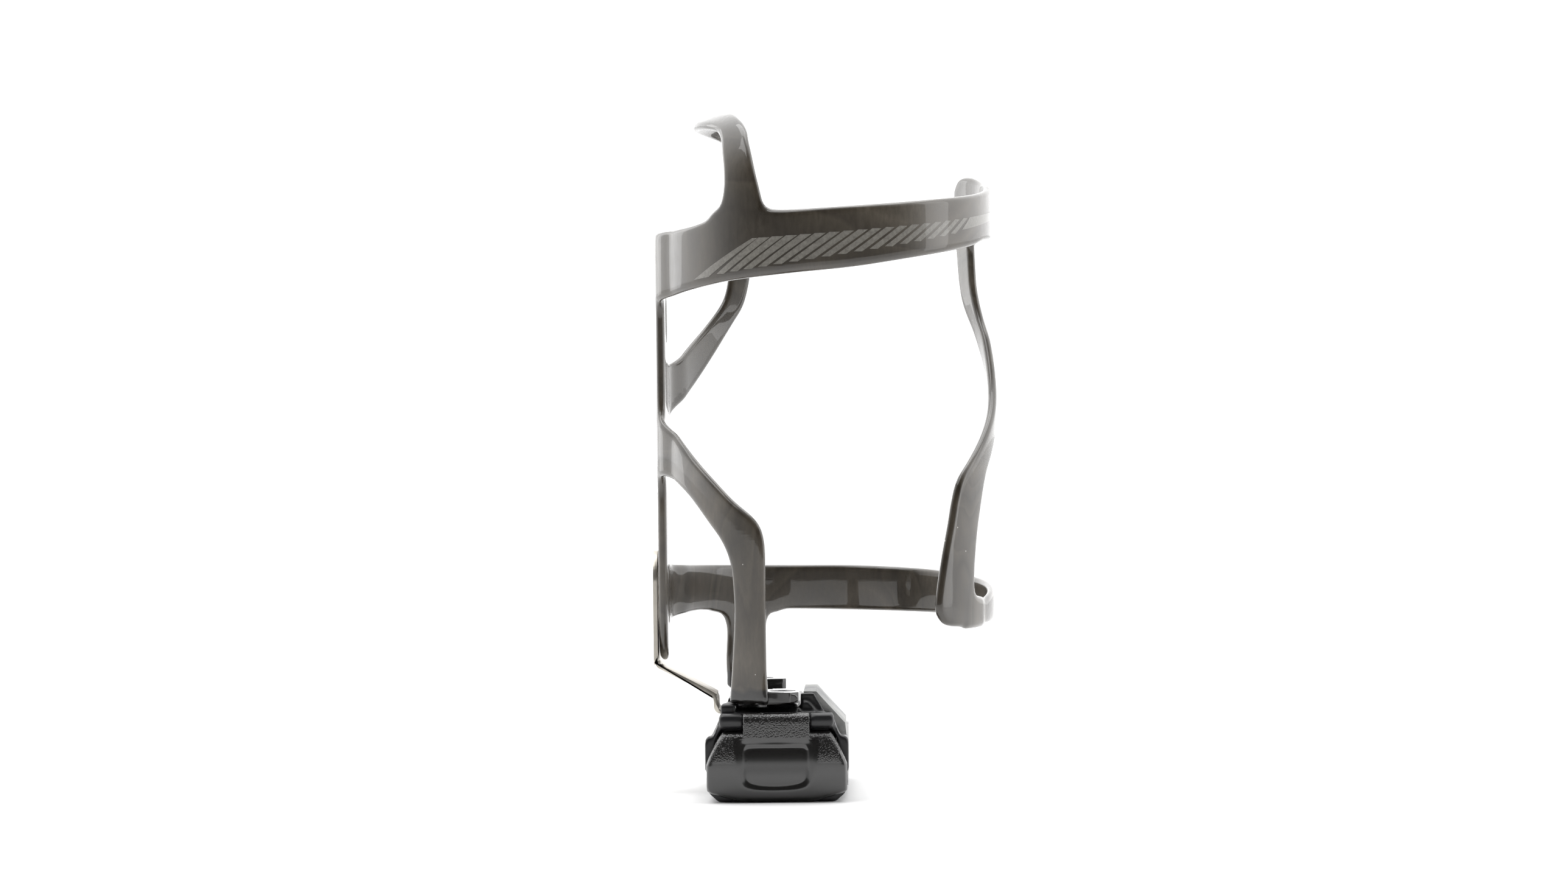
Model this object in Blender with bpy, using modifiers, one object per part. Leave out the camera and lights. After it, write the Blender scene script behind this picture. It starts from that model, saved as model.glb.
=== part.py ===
"""Side-loading bottle cage with a steel bracket and a multi-tool holder under its foot.

+X points out from the bicycle tube, Y runs across the bottle, +Z is up the bottle.
The origin is on the rear face of the spine, midway between the two frame bolts.
"""

import math

import bmesh
import bpy
from mathutils import Matrix, Vector, geometry

MM = 0.001

# Driving dimensions
BOTTLE_D = 73.5 * MM  # bottle that the cage grips
BOTTLE_PLAY = 0.15 * MM  # room between bottle and cage, on radius
WALL = 2.2 * MM  # moulded carbon wall
CAGE_H = 134.3 * MM  # foot underside to top of the hook
HOLDER_L = 73.0 * MM  # tool holder, across the bottle
HOLDER_W = 32.3 * MM  # tool holder, outward from the tube
HOLDER_H = 22.0 * MM  # foot underside to the ground
BOLT_PITCH = 64.0 * MM  # the two frame bolts
BOLT_SLOT = 5.3 * MM
BRACKET_T = 0.95 * MM
BRACKET_W = 14.0 * MM
STRUT_BOW = 0.8 * MM  # the front strut stands this far out from the bottle's curve
PIN_D = 1.6 * MM  # door hinge pin
PIVOT_D = 3.0 * MM  # tool pivot bolts
GAP = 0.3 * MM

# Sizes that follow
RI = BOTTLE_D / 2 + BOTTLE_PLAY
RM = RI + WALL / 2
RO = RI + WALL
AX = RO
KZ = CAGE_H / (134.3 * MM)
KS = KZ * MM
FOOT_T = 2.4 * MM
ZF = -55.4 * KS
LEG = math.radians(117.5)
LEG_X = AX + RM * math.cos(LEG)
LEG_Y = RM * math.sin(LEG)
XC = LEG_X + 6.1 * MM
HW = HOLDER_W / 2
HL = HOLDER_L / 2
KW = HOLDER_W / (32.3 * MM)
KH = HOLDER_H / (22.0 * MM)
NEAR_TAB = XC + 5.0 * MM * KW  # outer edges of the foot's two tabs
FAR_TAB = NEAR_TAB - 5.6 * MM

# Outlines of the moulded sheet, as degrees round the bottle and millimetres up it.
# 180 is the spine, -90 the near side, 0 the outermost line, 90 the far side.
SPINE_NEAR = [(-180, 51.8), (-171, 52.0), (-166.8, 51.0), (-166.8, 0), (-166.8, -32),
              (-168, -40), (-171, -44.6), (-175, -46.6), (-180, -47.2)]
BAND_TOP = [(-172, 51.9), (-160, 52.0), (-141.8, 52.7), (-131, 54.2), (-120, 56.0),
            (-109.7, 55.8), (-100, 55.6), (-80, 56.3), (-58.4, 57.4), (-27.9, 59.4),
            (-9.9, 61.2), (0, 62.6), (14, 64.0), (24, 65.4), (31, 65.2), (34.5, 62.8)]
BAND_BOTTOM = [(35.3, 58), (34, 50.5), (24, 50.0), (4, 50.0), (-16.8, 49.3), (-28.3, 47.7),
               (-58.6, 44.6), (-80.2, 42.5), (-100.4, 41.3), (-122.3, 40.0),
               (-132.7, 39.1), (-150, 37.6), (-161, 36.4), (-172, 34.5)]
FRONT_OUTER = [(35, 57), (33.8, 49.4), (32.1, 39.9), (28.9, 34.1), (21.6, 27.9),
               (12, 19.5), (4, 12), (-3.5, 6.0), (-12, 0.6), (-19.7, -5.0), (-25.2, -14.4),
               (-27.7, -21.3), (-29.2, -29.0), (-28.0, -31.8), (-22, -33.2)]
FRONT_INNER = [(-22, -38.8), (-31.1, -39.2), (-43.0, -38.8), (-47.4, -37.4),
               (-49.3, -34.0), (-46.5, -24.3), (-42.9, -15.6), (-40.7, -10.0),
               (-37.6, -5.4), (-30.8, -1.2), (-19.0, 5.2), (-8, 11.2), (0, 16.8), (6, 22.6),
               (11, 27.5), (17.5, 32.5), (22, 39.0), (23.2, 46.0), (24, 53)]
RING_TOP = [(171, -21.5), (166, -24.0), (159.3, -25.2), (129.5, -25.9), (104.2, -26.3),
            (81.2, -26.5), (56.7, -27.2), (43.6, -27.8), (20, -29.2), (4, -30.4),
            (-12, -32.2), (-22, -33.2), (-34, -33.5)]
RING_BOTTOM = [(-34, -38.8), (-22, -38.8), (0, -38.4), (28, -38.1), (56.9, -37.7),
               (81.4, -37.3), (104.4, -36.9), (137.3, -36.6), (146, -36.5),
               (158, -37.4), (166, -39.5), (171, -42.5)]
NEAR_LEG_OUT = [(-172, 14.5), (-166.5, 10.6), (-160, 7.8), (-147.6, 2.7), (-133.2, -4.3),
                (-123.4, -9.6), (-116.0, -13.2), (-112.8, -15.8), (-111.4, -19.0),
                (-111.1, -22.8), (-111.1, -28.6), (-111.0, -47.7), (-110.2, -54.4)]
NEAR_LEG_IN = [(-125.2, -54.4), (-123.8, -45.1), (-122.9, -35.5), (-123.5, -27.6),
               (-124.6, -23.4), (-127.5, -19.4), (-132.5, -15.6), (-143.4, -9.0),
               (-156, -4.8), (-163.4, -4.4), (-170, -6.5)]
FAR_LEG = [(136.5, -36.0), (132.4, -37.3), (130.4, -39.6), (129.8, -42.2), (130.3, -48.0),
           (130.0, -52.4), (128.6, -54.4), (114.6, -54.4), (114.2, -50), (114.0, -42.6),
           (113.4, -39.4), (111.9, -37.5), (108.5, -36.3), (112, -31), (136, -31)]
FAR_STRUT = [(170, 5.5), (164, 8.6), (157.8, 11.7), (145.5, 17.8), (135.6, 24.3),
             (125.8, 32.4), (122.0, 36.0), (119.8, 40.2), (118.6, 45), (118, 54),
             (118, 63), (119.5, 69), (127.6, 69), (127.2, 63), (126.8, 52), (127.8, 43.1),
             (130.8, 37.0), (139.4, 31.0), (150.8, 25.5), (159.5, 22.2), (165.5, 22.8),
             (170, 26)]
HOOK_OUTER = [(-109.2, 51), (-110.6, 57), (-113.0, 63.4), (-115.2, 68), (-118.0, 72.0),
              (-121.2, 75.6), (-127, 79.0), (-137, 82.6), (-151, 85.4), (-166, 86.9),
              (-180, 87.3)]
HOOK_FAR_OUTER = [(180, 87.3), (166, 86.9), (151, 85.4), (138, 82.6), (129, 79.0),
                  (123.4, 75.6), (120.2, 72.0), (118.8, 68), (118.4, 63.4)]
HOOK_INNER = [(-180, 79.0), (-164, 78.7), (-150, 77.8), (-138.5, 76.2), (-131.6, 73.2),
              (-127.8, 69.0), (-125.6, 64.5), (-125.6, 60.5), (-127.2, 57.0), (-131, 54.6),
              (-131, 50)]
HOOK_START = 62.0
HOOK_BEND = 17.0
FLAT_Y = 9.2 * MM
ROUND_Y = 17.0 * MM


def clear_scene():
    for obj in list(bpy.data.objects):
        bpy.data.objects.remove(obj, do_unlink=True)


def new_collection(name, hidden=False):
    made = bpy.data.collections.new(name)
    bpy.context.scene.collection.children.link(made)
    made.hide_render = hidden
    return made


def material(name, colour, roughness, metallic):
    made = bpy.data.materials.new(name)
    made.use_nodes = True
    shader = made.node_tree.nodes["Principled BSDF"]
    shader.inputs["Base Color"].default_value = (*colour, 1)
    shader.inputs["Roughness"].default_value = roughness
    shader.inputs["Metallic"].default_value = metallic
    return made


def object_of(name, bm, where, smooth=None):
    bmesh.ops.recalc_face_normals(bm, faces=bm.faces)
    mesh = bpy.data.meshes.new(name)
    bm.to_mesh(mesh)
    bm.free()
    obj = bpy.data.objects.new(name, mesh)
    where.objects.link(obj)
    if smooth is not None:
        mesh.shade_smooth()
        mesh.set_sharp_from_angle(angle=math.radians(smooth))
    return obj


def box(name, low, high, where):
    bm = bmesh.new()
    bmesh.ops.create_cube(bm, size=1)
    for vert in bm.verts:
        vert.co = Vector(low[i] if vert.co[i] < 0 else high[i] for i in range(3))
    return object_of(name, bm, where)


def prism(name, points, plane, start, end, where, smooth=None):
    """A flat outline in the named plane, drawn out along the third axis."""
    third = {"xy": 2, "xz": 1, "yz": 0}[plane]
    first, second = [i for i in range(3) if i != third]
    bm = bmesh.new()
    verts = []
    for a, b in points:
        co = [0.0, 0.0, 0.0]
        co[first] = a
        co[second] = b
        co[third] = start
        verts.append(bm.verts.new(co))
    face = bm.faces.new(verts)
    drawn = bmesh.ops.extrude_face_region(bm, geom=[face])
    step = [0.0, 0.0, 0.0]
    step[third] = end - start
    moved = [item for item in drawn["geom"] if isinstance(item, bmesh.types.BMVert)]
    bmesh.ops.translate(bm, verts=moved, vec=step)
    return object_of(name, bm, where, smooth)


def rod(name, axis, centre, radius, start, end, where, sides=24, turn=0.0):
    """A round or many-sided bar along one axis."""
    points = []
    for i in range(sides):
        angle = turn + 2 * math.pi * i / sides
        points.append((centre[0] + radius * math.cos(angle),
                       centre[1] + radius * math.sin(angle)))
    plane = {"x": "yz", "y": "xz", "z": "xy"}[axis]
    return prism(name, points, plane, start, end, where, 40)


def boolean(obj, other, operation):
    step = obj.modifiers.new(other.name, "BOOLEAN")
    step.operation = operation
    step.solver = "EXACT"
    step.object = other
    other.hide_render = True
    other.display_type = "WIRE"


def cut(obj, other):
    boolean(obj, other, "DIFFERENCE")


def join(obj, other):
    boolean(obj, other, "UNION")


def smoothed(points, step):
    """The outline through these points, resampled about one step apart."""
    out = []
    count = len(points)
    for i in range(count - 1):
        p0 = Vector(points[max(i - 1, 0)])
        p1 = Vector(points[i])
        p2 = Vector(points[i + 1])
        p3 = Vector(points[min(i + 2, count - 1)])
        span = (p2 - p1).length
        parts = max(1, round(span / step))
        for k in range(parts):
            t = k / parts
            a = (p2 - p0) * 0.5
            b = (p3 - p1) * 0.5
            lead = (2 * t ** 3 - 3 * t ** 2 + 1) * p1 + (t ** 3 - 2 * t ** 2 + t) * a
            tail = (3 * t ** 2 - 2 * t ** 3) * p2 + (t ** 3 - t ** 2) * b
            out.append(lead + tail)
    out.append(Vector(points[-1]))
    return out


def flat(points):
    """Degrees and millimetres to metres on the unrolled sheet."""
    return [(math.radians(a) * RM, s * KS) for a, s in points]


def closed_outline(*runs, step=3.2 * MM):
    points = []
    for run in runs:
        for point in smoothed(flat(run), step):
            if not points or (point - points[-1]).length > 0.4 * MM:
                points.append(point)
    if (points[0] - points[-1]).length < 0.4 * MM:
        points.pop()
    area = sum(a.cross(b) for a, b in zip(points, points[1:] + points[:1]))
    return points if area > 0 else points[::-1]


def mirrored(points):
    return [(-a, s) for a, s in points][::-1]


def far_from(point, outlines, reach):
    for outline in outlines:
        for a, b in zip(outline, outline[1:] + outline[:1]):
            near, share = geometry.intersect_point_line(point, a, b)
            near = a if share < 0 else b if share > 1 else near.xy
            if (point - near).length < reach:
                return False
    return True


def on_bottle(u, s):
    """A point of the unrolled sheet, wrapped round the bottle; the hook leans in over it."""
    angle = u / RM
    start = HOOK_START * KS
    bend = HOOK_BEND * KS
    radius = RM
    height = s
    if s > start:
        turn = (s - start) / bend
        radius = RM - bend * (1 - math.cos(turn))
        height = start + bend * math.sin(turn)
    bow = math.exp(-((s - 14 * KS) / (20 * KS)) ** 2) * max(math.cos(angle), 0)
    radius += STRUT_BOW * bow
    x = AX + radius * math.cos(angle)
    y = radius * math.sin(angle)
    if math.cos(angle) < 0 and s < start:
        share = min(max((abs(y) - FLAT_Y) / (ROUND_Y - FLAT_Y), 0), 1)
        share = share * share * (3 - 2 * share)
        x = (AX - RM) * (1 - share) + x * share
    return Vector((x, y, height))


def wrapped_sheet(name, outlines, where, cell):
    """The outlines made one flat sheet, wrapped round the bottle and welded at the spine."""
    points = []
    faces = []
    for outline in outlines:
        faces.append(list(range(len(points), len(points) + len(outline))))
        points += outline
    edge = math.pi * RM
    columns = round(2 * edge / cell)
    rows = range(round(-58 * KS / cell), round(90 * KS / cell))
    for i in range(columns + 1):
        u = -edge + 2 * edge * i / columns
        for j in rows:
            point = Vector((u, j * cell))
            on_seam = i in (0, columns)
            if on_seam and -46 * KS < point.y < 51 * KS:
                points.append(point)
            elif not on_seam and far_from(point, outlines, 0.42 * cell):
                points.append(point)
    result = geometry.delaunay_2d_cdt(points, [], faces, 0, 1e-7)
    bm = bmesh.new()
    verts = [bm.verts.new(on_bottle(*co)) for co in result[0]]
    for face, origin in zip(result[2], result[5]):
        if origin:
            bm.faces.new([verts[i] for i in face])
    loose = [vert for vert in bm.verts if not vert.link_faces]
    bmesh.ops.delete(bm, geom=loose, context="VERTS")
    bmesh.ops.remove_doubles(bm, verts=bm.verts, dist=0.05 * MM)
    bmesh.ops.dissolve_degenerate(bm, edges=bm.edges, dist=0.05 * MM)
    obj = object_of(name, bm, where)
    step = obj.modifiers.new("wall", "SOLIDIFY")
    step.thickness = WALL
    step.offset = 0
    step.use_even_offset = False
    return obj


def cage_body(parts, cutters):
    near = closed_outline(SPINE_NEAR)
    far = closed_outline(mirrored(SPINE_NEAR))
    outlines = [
        near,
        far,
        closed_outline(BAND_TOP, BAND_BOTTOM),
        closed_outline(FRONT_OUTER, FRONT_INNER),
        closed_outline(RING_TOP, RING_BOTTOM),
        closed_outline(NEAR_LEG_OUT, NEAR_LEG_IN),
        closed_outline(FAR_LEG),
        closed_outline(FAR_STRUT),
        closed_outline(HOOK_OUTER, HOOK_INNER),
        closed_outline(mirrored(HOOK_INNER[:7]), HOOK_FAR_OUTER),
    ]
    body = wrapped_sheet("cage_body", outlines, parts, 4.4 * MM)
    plan = []
    back = LEG_X - 4.6 * MM
    side = LEG_Y + 1.6 * MM
    start = foot_screws()[1][1] - 4.4 * MM
    for x, y in ((back, -side), (NEAR_TAB - 2 * MM, -side), (NEAR_TAB, -side + 2 * MM),
                 (NEAR_TAB, -start - 2 * MM), (NEAR_TAB - 2 * MM, -start),
                 (back + 9.5 * MM, -start + 4 * MM), (back + 9.5 * MM, start - 4 * MM),
                 (FAR_TAB - 1.8 * MM, start), (FAR_TAB, start + 2 * MM),
                 (FAR_TAB, side - 2 * MM), (FAR_TAB - 1.8 * MM, side), (back, side),
                 (back + 1.4 * MM, start), (back + 1.4 * MM, -start)):
        plan.append((x, y))
    shelf = prism("foot_shelf", plan, "xy", ZF, ZF + FOOT_T, cutters)
    join(body, shelf)
    for sign in (-1, 1):
        z = sign * BOLT_PITCH / 2
        reach = 2.2 * MM if sign > 0 else 3.4 * MM
        slot = []
        for i in range(16):
            angle = 2 * math.pi * i / 16 + math.pi / 16
            end = math.copysign(reach, math.sin(angle))
            slot.append((BOLT_SLOT / 2 * math.cos(angle),
                         z + end + BOLT_SLOT / 2 * math.sin(angle)))
        cut(body, prism(f"bolt_slot_{sign + 1}", slot, "yz", -2 * MM, 6 * MM, cutters))
    for i, (x, y) in enumerate(foot_screws()):
        cut(body, rod(f"foot_hole_{i}", "z", (x, y), 1.7 * MM, ZF - MM, ZF + 2 * FOOT_T,
                      cutters, 16))
        cut(body, rod(f"foot_seat_{i}", "z", (x, y), 3.0 * MM, ZF + 0.9 * MM,
                      ZF + 2 * FOOT_T, cutters, 24))
    return body


def foot_screws():
    inset = min(LEG_Y - 6.0 * MM, HL - 8.7 * MM)
    return ((NEAR_TAB - 3.8 * MM, -inset), (FAR_TAB - 4.3 * MM, inset))


def bracket(parts, cutters):
    half = BRACKET_T / 2
    top = -21.6 * KS
    low = XC - 14.65 * MM * KW
    spine_end = -47.2 * KS
    line = [(-GAP - half, top), (-GAP - half, spine_end + 1.3 * MM),
            (-0.3 * MM - GAP, spine_end + 0.1 * MM), (0.22 * MM - GAP, spine_end - 0.95 * MM),
            (1.36 * MM - GAP, spine_end - 1.65 * MM), (low - 1.16 * MM, ZF + 0.9 * MM),
            (low - 0.37 * MM, ZF + 0.18 * MM), (low - 0.03 * MM, ZF - 0.88 * MM),
            (low, ZF - 2.2 * MM), (low + 0.3 * MM, ZF - 3.1 * MM),
            (low + 1.26 * MM, ZF - 3.58 * MM), (low + 3.2 * MM, ZF - 3.6 * MM)]
    left = []
    right = []
    for i, point in enumerate(line):
        before = Vector(line[max(i - 1, 0)])
        after = Vector(line[min(i + 1, len(line) - 1)])
        way = (after - before).normalized()
        side = Vector((-way.y, way.x)) * half
        left.append(tuple(Vector(point) + side))
        right.append(tuple(Vector(point) - side))
    obj = prism("steel_bracket", left + right[::-1], "xz", -BRACKET_W / 2, BRACKET_W / 2,
                parts, 30)
    radius = BRACKET_W / 2
    tall = top - radius
    arch = [(-radius - MM, tall), (-radius - MM, top + MM), (radius + MM, top + MM),
            (radius + MM, tall), (radius, tall)]
    for i in range(1, 16):
        angle = math.pi * i / 16
        arch.append((radius * math.cos(angle), tall + radius * math.sin(angle)))
    arch.append((-radius, tall))
    cut(obj, prism("bracket_top", arch, "yz", -3 * MM, 3 * MM, cutters))
    cut(obj, rod("bracket_hole", "x", (0, -BOLT_PITCH / 2), BOLT_SLOT / 2, -3 * MM, 3 * MM,
                 cutters, 20))
    return obj


def holder_profile():
    """Front view of the holder's near frame, from its centre line and the foot."""
    half = [(12.6, -2.9), (13.6, -5.6), (14.4, -7.6), (16.15, -8.7), (16.15, -14.6),
            (15.6, -16.0), (15.3, -21.2), (13.4, -22.0)]
    return ([(XC - a * MM * KW, ZF + c * MM * KH) for a, c in half]
            + [(XC + a * MM * KW, ZF + c * MM * KH) for a, c in half[::-1]])


def local(a, y, c):
    return (XC + a * MM * KW, y, ZF + c * MM * KH)


def holder_body(parts, cutters):
    front = -HL
    obj = prism("holder_body", holder_profile(), "xz", front, front + 5.4 * MM, parts, 35)
    window = ((-12.0, -4.9), (12.0, -4.9), (13.9, -8.5), (13.9, -19.4), (-13.9, -19.4),
              (-13.9, -8.5))
    cut(obj, prism("front_window",
                   [(XC + a * MM * KW, ZF + c * MM * KH) for a, c in window], "xz",
                   front - MM, front + 9 * MM, cutters))
    deck = box("deck", local(-12.6, front + 3.2 * MM, -4.9), local(4.6, HL, -2.4), cutters)
    join(obj, deck)
    join(obj, box("deck_side", local(-5, front + 3.0 * MM, -4.9),
                  local(12.6, front + 8.9 * MM, -2.45), cutters))
    outline = [(-12.6, -2.6), (-10.0, -2.6), (-10.0, -4.9), (-12.0, -5.3), (-13.0, -6.8),
               (-14.3, -8.5), (-14.3, -19.55), (-12.25, -19.55), (-12.25, -22.0),
               (-15.0, -22.0), (-15.8, -21.0), (-15.8, -8.9), (-14.6, -7.4), (-13.9, -5.6)]
    wall = prism("left_wall", [(XC + a * MM * KW, ZF + c * MM * KH) for a, c in outline],
                 "xz", front + 2 * MM, HL, cutters)
    join(obj, wall)
    join(obj, box("right_rail", local(14.0, front + 2.2 * MM, -22.0),
                  local(15.9, HL - 3 * MM, -19.55), cutters))
    join(obj, box("sill", local(-13.6, front + 1.1 * MM, -22.0),
                  local(13.6, front + 4.6 * MM, -19.2), cutters))
    for i, (x, y) in enumerate(foot_screws()):
        join(obj, rod(f"boss_{i}", "z", (x, y), 3.2 * MM, ZF - 4.5 * MM * KH, ZF - GAP,
                      cutters, 20))
    for i, y in enumerate((front + 8 * MM, HL - 12 * MM)):
        join(obj, box(f"post_{i}", local(-12.3, y, -4), local(-8.9, y + 4 * MM, -0.35),
                      cutters))
    stop = [(5.4, -4.0), (5.4, 1.9), (8.3, 2.0), (10.4, -1.6), (11.6, -3.9)]
    join(obj, prism("end_stop", [(XC + a * MM * KW, ZF + c * MM * KH) for a, c in stop],
                    "xz", front + 6.0 * MM, front + 9.0 * MM, cutters))
    hinge = hinge_line()
    cut(obj, box("leaf_room", local(-7.5, front - 2 * MM, -6.2),
                 local(7.5, front + 3.7 * MM, -1.0), cutters))
    for i, (a, b) in enumerate(((-12.6, -7.5), (7.5, 12.6))):
        join(obj, rod(f"knuckle_{i}", "x", hinge, 1.85 * MM, XC + a * MM * KW,
                      XC + b * MM * KW, cutters, 24))
        join(obj, box(f"knuckle_root_{i}", local(a + 0.05, hinge[0], -4.8),
                      local(b - 0.05, front + 5 * MM, -2.75), cutters))
    cut(obj, rod("pin_bore", "x", hinge, PIN_D / 2 + GAP, XC - 11.6 * MM * KW,
                 XC + 20 * MM * KW, cutters, 16))
    cut(obj, box("hook_slot", (XC - 20 * MM * KW, -BRACKET_W / 2 - GAP, ZF - 5.0 * MM),
                 (XC - 14.65 * MM * KW + 3.85 * MM, BRACKET_W / 2 + GAP, ZF - 2.0 * MM),
                 cutters))
    for i, (x, y) in enumerate(foot_screws()):
        cut(obj, rod(f"boss_hole_{i}", "z", (x, y), 1.65 * MM, ZF - 9 * MM, ZF + MM,
                     cutters, 16))
    return obj


def hinge_line():
    """Where the door's hinge crosses the YZ plane."""
    return (-HL - 0.4 * MM, ZF - 3.9 * MM * KH)


def holder_door(parts, cutters):
    y, z = hinge_line()
    face = -HL - GAP
    side = [(face, -6.25), (face - 1.3 * MM, -6.1), (face - 2.2 * MM, -6.5),
            (face - 3.2 * MM, -8.4), (face - 3.9 * MM, -11.0), (face - 4.1 * MM, -13.6),
            (face - 3.9 * MM, -16.6), (face - 3.2 * MM, -19.4), (face - 2.0 * MM, -21.2),
            (face - 1.0 * MM, -21.7), (face, -21.7)]
    points = [(a, ZF + c * MM * KH) for a, c in side]
    obj = prism("holder_door", points, "yz", XC - 15.7 * MM * KW, XC + 15.7 * MM * KW,
                parts, 35)
    outline = [(12.1, -5.0), (14.0, -9.6), (15.0, -12.0), (15.6, -15.2), (15.6, -19.4),
               (13.6, -20.4), (7.2, -21.4), (0, -21.6)]
    far = ZF - 60 * MM
    trims = []
    for sign in (-1, 1):
        run = [(XC + sign * a * MM * KW, ZF + c * MM * KH) for a, c in outline]
        corner = [(XC, far), (XC + sign * 40 * MM, far),
                  (XC + sign * 40 * MM, ZF - 4 * MM * KH), (run[0][0], ZF - 4 * MM * KH)]
        trims.append(prism(f"door_trim_{sign + 1}", run + corner, "xz", face - 9 * MM,
                           face + 3 * MM, cutters))
    for trim in trims:
        cut(obj, trim)
    cut(obj, prism("thumb_window", [
        (XC + a * MM * KW, ZF + c * MM * KH)
        for a, c in ((-7.9, -8.3), (-7.0, -7.5), (7.0, -7.5), (7.9, -8.3), (8.3, -13.5),
                     (7.9, -18.2), (6.4, -19.0), (0, -19.4), (-6.4, -19.0), (-7.9, -18.2),
                     (-8.3, -13.5))], "xz", face - 9 * MM, face - 3.3 * MM, cutters))
    cut(obj, box("door_hollow", local(-13.2, face - 1.3 * MM, -18.6),
                 local(13.2, face + MM, -8.0), cutters))
    leaf = [(y - 2.9 * MM, z - 4.2 * MM), (y - 2.9 * MM, z + 0.4 * MM),
            (y - 2.3 * MM, z + 1.5 * MM), (y - 1.0 * MM, z + 1.95 * MM),
            (y + 0.6 * MM, z + 1.75 * MM), (y + 1.7 * MM, z + 0.7 * MM),
            (y + 1.85 * MM, z - 0.4 * MM), (y + 1.2 * MM, z - 1.5 * MM),
            (y - 0.4 * MM, z - 2.0 * MM), (y - 0.8 * MM, z - 4.2 * MM)]
    join(obj, prism("leaf", leaf, "yz", XC - 7.2 * MM * KW, XC + 7.2 * MM * KW, cutters))
    cut(obj, prism("spring_room", [
        (y - 1.9 * MM, z - 1.9 * MM), (y - 1.9 * MM, z + 3 * MM), (y + 3 * MM, z + 3 * MM),
        (y + 3 * MM, z - 5 * MM), (y - 0.3 * MM, z - 5 * MM), (y - 0.3 * MM, z - 1.9 * MM)],
        "yz", XC - 3.2 * MM * KW, XC + 3.2 * MM * KW, cutters))
    cut(obj, rod("door_bore", "x", (y, z), PIN_D / 2 + GAP, XC - 9 * MM * KW,
                 XC + 9 * MM * KW, cutters, 16))
    return obj


def hinge_pin(parts):
    return rod("hinge_pin", "x", hinge_line(), PIN_D / 2, XC - 11.3 * MM * KW,
               XC + 12.3 * MM * KW, parts, 16)


def door_spring(parts):
    """Torsion spring on the hinge pin: one leg under the deck, one behind the door."""
    y, z = hinge_line()
    radius = 1.38 * MM
    turns = 4
    path = [(XC - 2.3 * MM, y + 7.5 * MM, z - radius - 0.3 * MM)]
    for i in range(turns * 12 + 10):
        angle = -math.pi / 2 - 2 * math.pi * i / 12
        share = i / (turns * 12 + 9)
        path.append((XC - 2.3 * MM + 4.6 * MM * share, y + radius * math.cos(angle),
                     z + radius * math.sin(angle)))
    last = path[-1]
    path.append((last[0], last[1], last[2] - 5.0 * MM))
    curve = bpy.data.curves.new("door_spring", "CURVE")
    curve.dimensions = "3D"
    curve.bevel_depth = 0.24 * MM
    curve.bevel_resolution = 1
    curve.resolution_u = 1
    curve.use_fill_caps = True
    line = curve.splines.new("POLY")
    line.points.add(len(path) - 1)
    for point, co in zip(line.points, path):
        point.co = (*co, 1)
    obj = bpy.data.objects.new("door_spring", curve)
    parts.objects.link(obj)
    return obj


def foot_screw(name, centre, parts, cutters):
    x, y = centre
    seat = ZF + 0.9 * MM + GAP
    obj = rod(name, "z", centre, 2.7 * MM, seat, seat + 1.2 * MM, parts, 24)
    join(obj, rod(name + "_shank", "z", centre, 1.35 * MM, ZF - 4.6 * MM * KH,
                  seat + 0.4 * MM, cutters, 16))
    cut(obj, rod(name + "_key", "z", centre, 1.25 * MM, seat + 0.5 * MM, seat + 3 * MM,
                 cutters, 6))
    return obj


def pivots():
    """The two tool pivots: (y, z) of each."""
    z = ZF - 13.6 * MM * KH
    return ((-HL + 11.0 * MM, z), (HL - 9.0 * MM, z))


def plate(name, low, high, parts, cutters, shoulder):
    (near_y, z), (far_y, _) = pivots()
    start = near_y - 4.6 * MM
    end = far_y + 5.5 * MM
    top = ZF - 8.4 * MM * KH
    bottom = ZF - 19.2 * MM * KH
    corner = 3.0 * MM
    outline = [(start, bottom + corner), (start + 0.9 * MM, bottom + 0.9 * MM),
               (start + corner, bottom), (end - corner, bottom),
               (end - 0.9 * MM, bottom + 0.9 * MM), (end, bottom + corner),
               (end, top - corner), (end - 0.9 * MM, top - 0.9 * MM), (end - corner, top),
               (start + corner, top), (start + 0.9 * MM, top - 0.9 * MM),
               (start, top - corner)]
    obj = prism(name, outline, "yz", XC + low * MM * KW, XC + high * MM * KW, parts, 35)
    if shoulder:
        slope = [(high, -10.0), (15.4, -5.0), (8.9, 2.2), (6.0, 2.2), (6.0, -0.2),
                 (7.9, -0.2), (13.5, -6.2), (low, -10.0)]
        join(obj, prism(name + "_shoulder",
                        [(XC + a * MM * KW, ZF + c * MM * KH) for a, c in slope],
                        "xz", -HL + 9.3 * MM, 1.0 * MM, cutters))
    outer = low if not shoulder else high
    deep = 1.0 if not shoulder else -1.2
    for i, centre in enumerate(pivots()):
        cut(obj, rod(f"{name}_bore_{i}", "x", centre, PIVOT_D / 2 + GAP,
                     XC + (low - 1) * MM * KW, XC + (high + 1) * MM * KW, cutters, 20))
        ends = sorted((outer - deep, outer + deep))
        cut(obj, rod(f"{name}_seat_{i}", "x", centre, 2.6 * MM + GAP,
                     XC + ends[0] * MM * KW, XC + ends[1] * MM * KW, cutters, 24))
    return obj


def pivot_bolt(name, centre, parts, cutters):
    start = XC - 13.95 * MM * KW
    obj = rod(name, "x", centre, 2.6 * MM, start, start + 0.7 * MM * KW, parts, 24)
    join(obj, rod(name + "_shank", "x", centre, PIVOT_D / 2, start + 0.3 * MM * KW,
                  XC + 15.6 * MM * KW, cutters, 20))
    cut(obj, rod(name + "_key", "x", centre, 1.2 * MM, start - MM, start + 0.4 * MM,
                 cutters, 6))
    return obj


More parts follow.
